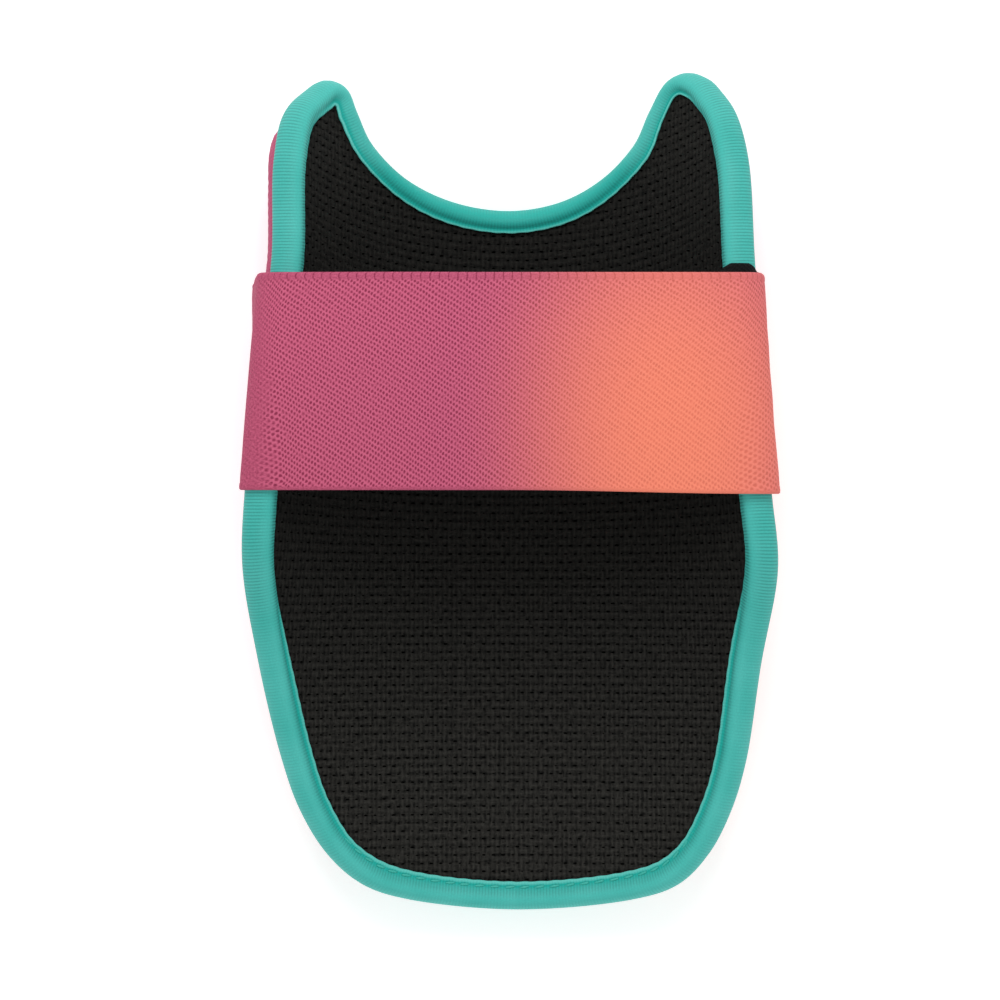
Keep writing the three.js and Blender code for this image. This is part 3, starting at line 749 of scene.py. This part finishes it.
def binding_tape():
    """Teal ribbed tape: satin ribs with painted shade between them, painted shade in the groove and scoop, a
    paler selvedge.
    """
    material, tree, shader = new_cloth("binding_tape", roughness=0.58)
    place = cloth_place(tree)
    yarn = grain(tree, place, TAPE_YARN_SCALE, 1.0)
    face = blend(tree, grain(tree, place, PATCH_SCALE, 2.0), *FACE_TEALS)
    # Painted shade in the groove
    groove_shaded = blend(tree, attribute(tree, PAINTED_TAPE_SHADE), PAINTED_GROOVE_SHADE_TEAL, face)
    selvedge = blend(tree, attribute(tree, PALE), groove_shaded, SELVEDGE_TEAL)
    ribs = waves(tree, attribute(tree, ALONG), FITTED_RIB_PITCH)
    # Painted shade lines in the valleys between the ribs
    line = ramp(tree, ribs, *PAINTED_RIB_SHADE_RANGE, PAINTED_RIB_SHADE_DARKNESS, 0.0)
    dark = sums(tree, "SUBTRACT", 1.0, sums(tree, "MULTIPLY", line, attribute(tree, RIBS_AND_RIB_SHADE)))
    fuzz = ramp(tree, yarn, *NOISE_RANGE, *FUZZ_SHADES)
    colour = blend(tree, 1.0, selvedge, sums(tree, "MULTIPLY", dark, fuzz), "MULTIPLY")
    finish_cloth(tree, shader, colour, yarn, TAPE_BUMP)
    return material


# Each step's share of lying in the scoop, and of its inner leg being tucked down to the lining
IN_SCOOP = eased(OUTWARD[:, 1], *SCOOP_FACING) * (1 - eased(EDGE[:, 1], *SCOOP_Y))
TUCKED = eased(OUTWARD[:, 0] * np.sign(EDGE[:, 0]), *WALL_FACING) * eased(EDGE[:, 1], *TUCKED_Y)


def leg_stretch():
    """How much longer the inner leg is at each step than on the plain walls, as a share."""
    x, y = EDGE.T
    at_tongue = 1 - eased(y, *TONGUE_Y)
    at_horn = eased(y, *HORN_Y)
    left_horn_change = LEFT_HORN_LEG_MORE * eased(OUTWARD[:, 0], *LEFT_HORN_FACING)
    horn_change = np.where(x > 0, -RIGHT_HORN_LEG_LESS, left_horn_change)
    on_left_wall = eased(y, *LEFT_WALL_START_Y) * (1 - eased(y, *LEFT_WALL_END_Y)) * (x < 0)
    change = TONGUE_LEG_MORE * at_tongue - SCOOP_LEG_LESS * IN_SCOOP
    return change + horn_change * at_horn - LEFT_WALL_LEG_LESS * on_left_wall


def tape_grid():
    """The tape's points: a row for each step along the edge, with the profile's points across it."""
    columns = np.arange(len(TAPE["reach"]))
    on_inner_leg = (columns < TAPE_FACE_COUNT // 2) | (columns == columns[-1])
    reach = TAPE["reach"] * MM + np.zeros((len(EDGE), 1))
    reach += np.minimum(reach - INNER_LEG_START, 0) * on_inner_leg * leg_stretch()[:, None]
    seams = round(EDGE_LENGTH / SEAM_PITCH)
    pull = SELVEDGE_PULL * np.cos(np.arange(len(EDGE)) / len(EDGE) * math.tau * seams)
    reach += pull[:, None] * (reach < SELVEDGE_REACH)
    tucked = TUCKED[:, None]
    depth = (TAPE["depth"] * (1 - tucked) + TAPE["tucked_depth"] * tucked) * MM
    across, y = np.moveaxis(EDGE[:, None, :] + OUTWARD[:, None, :] * reach[:, :, None], 2, 0)
    depth -= side_swell(across, y) * (depth < OUTER_LEG_DEPTH)
    return bend(across, y, depth)


def ring_faces(rows, columns, spans):
    """Four-sided faces of the spans between rows that each go round in a ring of columns."""
    faces = []
    for row in range(spans):
        here = row * columns
        there = (row + 1) % rows * columns
        for column in range(columns):
            beside = (column + 1) % columns
            faces.append((here + column, there + column, there + beside, here + beside))
    return faces


TAPE_POINTS = tape_grid()


def make_binding():
    """The smooth folded tape, ribbed by its tree; gives the width of the flat tape too."""
    rows, columns = TAPE_POINTS.shape[:2]
    widths = lengths_along(np.stack([TAPE["reach"], TAPE["depth"]], axis=1) * MM)
    distance = np.repeat(np.arange(rows) * EDGE_LENGTH / rows, columns)
    flat = np.column_stack([distance, np.tile(widths, rows)])
    material = binding_tape()
    faces = [face[::-1] for face in ring_faces(rows, columns, rows)]
    tape = new_piece("ribbed_binding", TAPE_POINTS.reshape(-1, 3), faces, material, flat)
    # Share of the ribs and of their painted shade, larger on the upper walls
    rib_share = SEWN_RIB_SHARE + (1 - SEWN_RIB_SHARE) * TUCKED
    # Painted shade on the scoop's tape
    scoop_shading = 1 - SCOOP_PAINTED_SHADE * IN_SCOOP
    carry(tape.data, ALONG, distance)
    carry(tape.data, RIBS_AND_RIB_SHADE, np.outer(rib_share, TAPE["ribbed"]))
    # Painted shade of the groove and of the scoop
    carry(tape.data, PAINTED_TAPE_SHADE, (1 - np.outer(1 - TUCKED, 1 - TAPE["unshaded"])) * scoop_shading[:, None])
    carry(tape.data, PALE, np.outer(1 - TUCKED, TAPE["pale"]))
    run_tree(tape, rib_tree, {"Rib Pitch": FITTED_RIB_PITCH, "Rib Height": RIB_HEIGHT, "Material": material})
    return tape, widths[TAPE_FACE_COUNT - 1]


binding, TAPE_WIDTH = make_binding()
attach(binding, "root")
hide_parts("edge_binding")

# Binding stitches
# Teal lockstitch thread in the groove of each leg of the tape, sewn through the pad between them.
# On the inside it shows on the tongue only, and is pulled down into the tape along the rest of the edge.
STITCH_LENGTH = 2.5 * MM
STITCH_WIDTH = 0.62 * MM
STITCH_HEIGHT = 0.46 * MM
STITCH_SLANT = math.radians(7)
STITCH_SEGMENTS = 8
STITCH_RINGS = 6
BALL_RADIUS = 0.5
THREAD_TEALS = (paint(36, 164, 150), paint(78, 196, 182))
THREAD_TWIST_SCALE = 3000.0
THREAD_BUMP = 0.03 * MM
# Rows of a seam's depth and the way that it faces
SEAM_ROWS = [(0.62, 1.0), (-6.1, -1.0)]
INNER_SINK = 0.5 * MM
INNER_SINK_Y = in_mm(-88.0, -78.0)
TRAVEL = "stitch_travel"
FACING = "stitch_facing"


def stitch_tree(values):
    """Lays a plump stitch at each point, along its travel and facing out of the tape."""
    tree, given, result = geometry_tree("lockstitches", values)
    ball = add_node(tree, "GeometryNodeMeshUVSphere", {
        "Segments": STITCH_SEGMENTS, "Rings": STITCH_RINGS, "Radius": BALL_RADIUS})
    size = add_node(tree, "ShaderNodeCombineXYZ", {
        0: given["Stitch Length"], 1: given["Stitch Width"], 2: given["Stitch Height"]})
    stitch = add_node(tree, "GeometryNodeTransform", {"Geometry": ball, "Scale": size})
    smooth = add_node(tree, "GeometryNodeSetShadeSmooth", {"Geometry": stitch, "Shade Smooth": True})
    axes = {"Primary Axis": carried(tree, FACING, "FLOAT_VECTOR"),
            "Secondary Axis": carried(tree, TRAVEL, "FLOAT_VECTOR")}
    turn = add_node(tree, "FunctionNodeAxesToRotation", axes, primary_axis="Z", secondary_axis="X")
    row = add_node(tree, "GeometryNodeInstanceOnPoints", {
        "Points": given["Geometry"], "Instance": smooth, "Rotation": turn})
    return end_tree(tree, row, given["Material"], result)


def stitch_thread():
    """Teal polyester thread with a slight shine and a fine twist."""
    material, tree, shader = new_cloth("stitch_thread", roughness=0.5, sheen=0.1)
    twist = grain(tree, object_place(tree), THREAD_TWIST_SCALE, 1.0)
    finish_cloth(tree, shader, blend(tree, twist, *THREAD_TEALS), twist, THREAD_BUMP)
    return material


def make_stitches():
    """Both rows of stitches round the edge as one mesh."""
    count = round(EDGE_LENGTH / SEAM_PITCH)
    middle = ((np.arange(count) + 0.5) / count * len(EDGE)).astype(int)
    sunk = INNER_SINK * eased(EDGE[:, 1], *INNER_SINK_Y)
    seams = []
    for row_depth, facing in SEAM_ROWS:
        inside = facing > 0
        reach = SEAM_REACH + (SEAM_REACH - INNER_LEG_START) * leg_stretch() * inside
        seam = EDGE + OUTWARD * reach[:, None]
        bulge = side_swell(*seam.T) * (not inside)
        depth = row_depth * MM - sunk * inside - bulge
        line = bend(*seam.T, depth)
        away = (bend(*seam.T, depth + facing * MM) - line) / MM
        travel = np.roll(line, -RIB_STEPS, axis=0) - np.roll(line, RIB_STEPS, axis=0)
        travel /= np.linalg.norm(travel, axis=1, keepdims=True)
        slanted = travel * math.cos(STITCH_SLANT) + np.cross(away, travel) * math.sin(STITCH_SLANT)
        seams.append(np.stack([line, slanted, away])[:, middle])
    places, travels, facings = np.concatenate(seams, axis=1)
    rows = add_mesh("binding_stitches", places)
    carry(rows.data, TRAVEL, travels, "FLOAT_VECTOR")
    carry(rows.data, FACING, facings, "FLOAT_VECTOR")
    run_tree(rows, stitch_tree, {
        "Stitch Length": STITCH_LENGTH, "Stitch Width": STITCH_WIDTH, "Stitch Height": STITCH_HEIGHT,
        "Material": stitch_thread()})
    return rows


stitches = make_stitches()
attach(stitches, "root")

# Elastic strap
# A wide band of printed knitted elastic with a firm edge along each side. It starts on the right wall,
# runs under the guard, up the left wall and over the open side, and laps over its own start.
STRAP_WIDTH = 50.8 * MM
STRAP_THICKNESS = 1.0 * MM
STRAP_SEAT_GAP = 0.33 * MM
TAB_SEAT_GAP = 0.2 * MM
TAB_THICKNESS = 0.45 * MM
STRAP_START_ANGLE = -6.0
STRAP_LAP_ANGLE = 36.0
FULL_TURN = 360.0
STRAP_END_ANGLE = STRAP_START_ANGLE - FULL_TURN - STRAP_LAP_ANGLE
TAB_START_ANGLE = 22.6
RISE_ANGLE = 12.0
CLEARANCE_ANGLE = 4.0
CENTRE_BELOW_RIM = 20.0 * MM
LEFT_EDGE_STANDOFF = 1.8 * MM
LEFT_EDGE_POWER = 1.5
# Ranges of how far up and how far left a place on the left rim lies from the band's centre
LEFT_RIM_UP = (-0.6, 0.2)
LEFT_RIM_LEFT = (0.3, 0.9)
LEAST_FACING = 1e-4
LEAST_DOWN = 1e-3
LOWER_EDGE_PULL = 0.9 * MM
LOWER_EDGE_PULL_X = in_mm(0.0, 60.0)
STRAP_BOW = 1.5 * MM
STRAP_BOW_HALF_SPAN = 46.0 * MM
SHOULDER_RADIUS = 2.0 * MM
SHOULDER_POWER = 6
CORNER_POWER = 5
LEFT_SHOULDER_X = -60.0 * MM
STRAP_RIGHT_SHOULDER_X = 60.3 * MM
WALL_SPREAD = 0.05
STRAP_CORNERS = in_mm(0.5, 2.5)
WRAP_STEPS = 120
NEAR_SURFACE_WAY = -0.45
ANGLE_STEP = 1.0
ROUNDING_STEPS = 3
STRAP_PITCHES = in_mm(0.685, 1.307)
STRAP_BUMP = 0.07 * MM
STRAP_GLOW_CENTRE = in_mm(38.5, 11.0)
STRAP_GLOW_REACH = in_mm(58.0, 92.0)
LOOP_COLOURS = (paint(206, 97, 129), paint(252, 142, 114))
GAP_COLOURS = (paint(141, 45, 76), paint(234, 122, 98))
GAP_RANGE = (0.4, -0.65)
MEAN_GAP = 0.45
UNEVEN_KNIT_SCALE = 420.0
UNEVEN_KNIT_SHARES = (0.45, 1.5)
LEFT_TURN_X = in_mm(-58.5, -54.0)
GAP_SHARE_PAST_TURN = 0.2
YARN_SCALE = 2400.0
YARN_UNEVEN = 1.2
UPPER_EDGE_WIDTH = 1.85 * MM
LOWER_EDGE_WIDTH = 0.8 * MM
# Shares of an edge's width between which the knit begins
EDGE_BLEND = (0.8, 1.15)
EDGE_DASH_PITCH = 2.07 * MM
EDGE_DASH_RANGE = (0.7, 1.0)

# The strap's section from one side to the middle: distance in from the side, and shares of the thickness
STRAP_SECTION_ROWS = [
    (0.00, 0.50, 0.50),
    (0.10, 0.22, 0.80),
    (0.35, 0.04, 1.00),
    (0.90, 0.00, 1.08),
    (1.50, 0.00, 1.04),
    (1.90, 0.00, 0.97),
] + [(inset, 0.00, 1.00) for inset in (2.6, 5.0, 8.5, 12.5, 17.0, 21.5)]


def wrap_outline(y):
    """The convex outline round the guard in the section at y, as x and z, counter-clockwise."""
    stations = []
    for side in (-1, 1):
        on_side = np.flatnonzero(EDGE[:, 0] * side > 0)
        stations.append(on_side[np.argmin(np.abs(EDGE[on_side, 1] - y))])
    tape = TAPE_POINTS[stations].reshape(-1, 3)
    across = np.linspace(EDGE[stations[0], 0], EDGE[stations[1], 0], WRAP_STEPS)
    pattern = np.column_stack([across, np.full(WRAP_STEPS, y)])
    pad = pad_outer_face(pattern, edge_inset(pattern))
    points = np.vstack([tape, pad])[:, [0, 2]]
    return points[convex_hull_2d(points.tolist())]


def climb(angles, end_angle):
    """A band's share of climbing over the end of what lies under it, just before that end."""
    top = end_angle + CLEARANCE_ANGLE
    return eased(-angles, -(top + RISE_ANGLE), -top)


def rounded(values):
    """Values along a band with their corners rounded off; the slope at each end stays."""
    steps = np.arange(-2 * ROUNDING_STEPS, 2 * ROUNDING_STEPS + 1)
    weights = np.exp(-0.5 * (steps / ROUNDING_STEPS) ** 2)
    padded = np.pad(values, 2 * ROUNDING_STEPS, mode="reflect", reflect_type="odd")
    return np.convolve(padded, weights / weights.sum(), mode="valid")


def quarter_drop(distance, radius):
    """How far a rounded corner has fallen away, a distance past the start of its quarter circle."""
    past = np.clip(distance, 0, radius)
    return radius - np.sqrt(radius**2 - past**2)


def band_line(y, angles, stand_off, lowest):
    """The line that a band follows round the guard at y, standing off it and above the surface."""
    outline = wrap_outline(y)
    travel = np.roll(outline, -1, axis=0) - outline
    normals = travel[:, ::-1] * (1, -1) / np.linalg.norm(travel, axis=1)[:, None]
    centre = np.array([0.0, outline[:, 1].max() - CENTRE_BELOW_RIM])
    ways = np.column_stack([np.cos(np.radians(angles)), np.sin(np.radians(angles))])
    width_share = np.clip((y - STRAP_LOWER_Y) / STRAP_WIDTH, 0, 1)
    on_left_rim = eased(ways[:, 1], *LEFT_RIM_UP) * eased(-ways[:, 0], *LEFT_RIM_LEFT)
    loose = LEFT_EDGE_STANDOFF * width_share**LEFT_EDGE_POWER * on_left_rim
    facing = np.maximum(ways @ normals.T, LEAST_FACING)
    heights = ((outline - centre) * normals).sum(axis=1)
    radius = ((heights[None, :] + (stand_off + loose)[:, None]) / facing).min(axis=1)
    down = ways[:, 1] < -LEAST_DOWN
    radius[down] = np.minimum(radius[down], (lowest - centre[1]) / ways[down, 1])
    near_surface = ways[:, 1] < NEAR_SURFACE_WAY
    radius = np.where(near_surface, rounded(radius), np.maximum(rounded(radius), radius))
    x = centre[0] + radius * ways[:, 0]
    bow = STRAP_BOW * np.maximum(1 - (x / STRAP_BOW_HALF_SPAN) ** 2, 0) * (ways[:, 1] > 0)
    return np.stack([x, np.full(len(x), y), centre[1] + radius * ways[:, 1] + bow], axis=1)


def make_band(name, material, angles, stand_off, thickness, section, lower_y, right_shoulder, corners):
    """A band wrapped round the guard from a section's rows, with rounded ends; gives its length too."""
    inset, inside, outside = np.array(section).T
    upper_y = lower_y + STRAP_WIDTH
    stations_y = np.concatenate([lower_y + inset * MM, upper_y - inset[::-1] * MM])
    faces_lines = []
    for shares in (outside, inside):
        both_sides = np.concatenate([shares, shares[::-1]])
        faces_lines.append([
            band_line(y, angles, stand_off + share * thickness, SURFACE_Z + (1 - share) * thickness)
            for y, share in zip(stations_y, both_sides)
        ])
    outer, inner = faces_lines
    points = np.stack(outer + inner[-2:0:-1], axis=1)
    rows, columns = points.shape[:2]
    lengths = lengths_along(outer[len(outer) // 2])
    flat_y = np.concatenate([stations_y, stations_y[-2:0:-1]])
    flat = np.column_stack([np.repeat(lengths, columns), np.tile(flat_y, rows)])
    narrowing = np.zeros(rows)
    for corner, from_end in zip(corners, (lengths, lengths[-1] - lengths)):
        narrowing += quarter_drop(corner - from_end, corner)
    x, y, _ = np.moveaxis(points, 2, 0)
    edge_share = (y - lower_y - STRAP_WIDTH / 2) / (STRAP_WIDTH / 2)
    past_shoulder = np.maximum(LEFT_SHOULDER_X - x, x - right_shoulder)
    dropped = quarter_drop(past_shoulder + SHOULDER_RADIUS, SHOULDER_RADIUS)
    dropped *= np.maximum(edge_share, 0) ** SHOULDER_POWER
    y -= narrowing[:, None] * edge_share**CORNER_POWER + dropped
    x += np.sign(x) * dropped * WALL_SPREAD
    lower_share = np.clip((upper_y - y) / STRAP_WIDTH, 0, 1)
    y -= LOWER_EDGE_PULL * eased(x, *LOWER_EDGE_PULL_X) * lower_share**2
    faces = ring_faces(rows, columns, rows - 1)
    last = (rows - 1) * columns
    for k in range(len(outer) - 1):
        cap = list(dict.fromkeys([k, k + 1, columns - k - 1, (columns - k) % columns]))
        faces.append(cap)
        faces.append([last + corner for corner in reversed(cap)])
    return new_piece(name, points.reshape(-1, 3), faces, material, flat), lengths[-1]


def strap_elastic():
    """Printed knitted elastic: slanting rows of dark gaps between pale loops, and a dashed upper edge."""
    material, tree, shader = new_cloth("strap_elastic", roughness=0.85)
    loops, place = stitch_lattice(tree, *STRAP_PITCHES)
    lengthwise, height_on_strap, _ = split(tree, place)
    from_upper = sums(tree, "SUBTRACT", STRAP_LOWER_Y + STRAP_WIDTH, height_on_strap)
    from_lower = sums(tree, "SUBTRACT", height_on_strap, STRAP_LOWER_Y)
    knit_shares = []
    for distance, width in ((from_upper, UPPER_EDGE_WIDTH), (from_lower, LOWER_EDGE_WIDTH)):
        knit_shares.append(ramp(tree, distance, EDGE_BLEND[0] * width, EDGE_BLEND[1] * width))
    knitted = sums(tree, "MULTIPLY", *knit_shares)
    uneven = ramp(tree, grain(tree, place, UNEVEN_KNIT_SCALE, 2.0), *NOISE_RANGE, *UNEVEN_KNIT_SHARES)
    height = sums(tree, "MULTIPLY", sums(tree, "MULTIPLY", loops, knitted), uneven)
    dashes = ramp(tree, waves(tree, lengthwise, EDGE_DASH_PITCH), *EDGE_DASH_RANGE)
    dashes = sums(tree, "MULTIPLY", dashes, sums(tree, "SUBTRACT", 1.0, knit_shares[0]))
    marks = sums(tree, "MAXIMUM", ramp(tree, height, *GAP_RANGE), dashes)
    opened = ramp(tree, split(tree, object_place(tree))[0], *LEFT_TURN_X, GAP_SHARE_PAST_TURN, 1.0)
    marks = sums(tree, "MULTIPLY_ADD", sums(tree, "SUBTRACT", marks, MEAN_GAP), opened, MEAN_GAP)
    yarn = sums(tree, "SUBTRACT", grain(tree, place, YARN_SCALE, 1.0), 0.5)
    dark = sums(tree, "MULTIPLY_ADD", yarn, YARN_UNEVEN, marks)
    glow = printed_glow(tree, STRAP_GLOW_CENTRE, STRAP_GLOW_REACH)
    loop_colour = blend(tree, glow, *LOOP_COLOURS)
    gap_colour = blend(tree, glow, *GAP_COLOURS)
    finish_cloth(tree, shader, blend(tree, dark, loop_colour, gap_colour), height, STRAP_BUMP)
    return material


strap_angles = np.arange(STRAP_START_ANGLE, STRAP_END_ANGLE - ANGLE_STEP / 2, -ANGLE_STEP)
strap_stand_off = (
    STRAP_SEAT_GAP
    + (TAB_THICKNESS + TAB_SEAT_GAP) * climb(strap_angles, TAB_START_ANGLE - FULL_TURN)
    + (STRAP_THICKNESS + TAB_SEAT_GAP) * climb(strap_angles, STRAP_START_ANGLE - FULL_TURN)
)
strap, STRAP_LENGTH = make_band(
    "elastic_strap", strap_elastic(), strap_angles, strap_stand_off, STRAP_THICKNESS, STRAP_SECTION_ROWS,
    STRAP_LOWER_Y, STRAP_RIGHT_SHOULDER_X, STRAP_CORNERS)
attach(strap, "root")
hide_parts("strap")

# Hook tab
# A piece of black hook tape between the strap's start and its end, over the right rim and down the
# right wall. It is set a little higher than the strap, so its edge shows above the strap's.
TAB_SHIFT_UP = 2.2 * MM
TAB_END_ANGLE = -36.0
TAB_RIGHT_SHOULDER_X = 57.5 * MM
TAB_CORNERS = in_mm(1.6, 0.4)
TAB_SECTION_ROWS = [
    (0.00, 0.50, 0.50),
    (0.10, 0.10, 0.90),
] + [(inset, 0.00, 1.00) for inset in (0.5, 4.0, 8.0, 12.0, 16.0, 20.0, 24.0)]
HOOK_PITCHES = in_mm(0.6, 1.1)
HOOK_BUMP = 0.15 * MM
HOOK_BLACKS = (paint(2, 2, 3), paint(8, 8, 9))


def hook_tape():
    """Black hook tape, with rows of fine bristles."""
    material, tree, shader = new_cloth("hook_tape", roughness=0.9)
    hooks, _ = stitch_lattice(tree, *HOOK_PITCHES)
    colour = blend(tree, ramp(tree, hooks, -1.0, 1.0), *HOOK_BLACKS)
    finish_cloth(tree, shader, colour, hooks, HOOK_BUMP)
    return material


tab_angles = np.arange(TAB_START_ANGLE, TAB_END_ANGLE - ANGLE_STEP / 2, -ANGLE_STEP)
tab_stand_off = STRAP_SEAT_GAP + (STRAP_THICKNESS + TAB_SEAT_GAP) * climb(tab_angles, STRAP_START_ANGLE)
tab, TAB_LENGTH = make_band(
    "hook_tab", hook_tape(), tab_angles, tab_stand_off, TAB_THICKNESS, TAB_SECTION_ROWS,
    STRAP_LOWER_Y + TAB_SHIFT_UP, TAB_RIGHT_SHOULDER_X, TAB_CORNERS)
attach(tab, "root")
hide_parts("strap_hook_tab")

# Studio
# A plain pale light table under a white surround, with a soft box beyond the horns and one before
# the tongue.
FLOOR_HALF_WIDTH = 6.0
FLOOR_PAINT = 0.95
FLOOR_GLOW = 0.37
SURROUND_STRENGTH = 0.56
WHITE = (1.0, 1.0, 1.0, 1.0)
# Rows of each soft box's name, place and power
SOFT_BOX_ROWS = [
    ("horn_soft_box", (-0.05, 1.06, 1.06), 10.5),
    ("tongue_soft_box", (0.05, -1.06, 1.06), 4.0),
]
SOFT_BOX_WIDTH = 0.8

floor_corners = [(x * FLOOR_HALF_WIDTH, y * FLOOR_HALF_WIDTH, SURFACE_Z)
                 for x, y in ((-1, -1), (1, -1), (1, 1), (-1, 1))]
floor = add_mesh("floor", floor_corners, [(0, 1, 2, 3)])
floor_material = bpy.data.materials.new("floor")
floor_material.use_nodes = True
floor_shader = floor_material.node_tree.nodes["Principled BSDF"]
floor_shader.inputs["Base Color"].default_value = (FLOOR_PAINT, FLOOR_PAINT, FLOOR_PAINT, 1.0)
floor_shader.inputs["Roughness"].default_value = 1.0
floor_shader.inputs["Emission Color"].default_value = WHITE
floor_shader.inputs["Emission Strength"].default_value = FLOOR_GLOW
floor.data.materials.append(floor_material)

world = bpy.data.worlds.new("studio")
world.use_nodes = True
surround = world.node_tree.nodes["Background"]
surround.inputs["Color"].default_value = WHITE
surround.inputs["Strength"].default_value = SURROUND_STRENGTH
bpy.context.scene.world = world
bpy.context.scene.view_settings.view_transform = "Standard"

for box_name, box_place, box_power in SOFT_BOX_ROWS:
    light_data = bpy.data.lights.new(box_name, "AREA")
    light_data.energy = box_power
    light_data.size = SOFT_BOX_WIDTH
    light = add_object(box_name, light_data)
    light.location = box_place
    light.rotation_euler = (-Vector(box_place)).to_track_quat("-Z", "Y").to_euler()
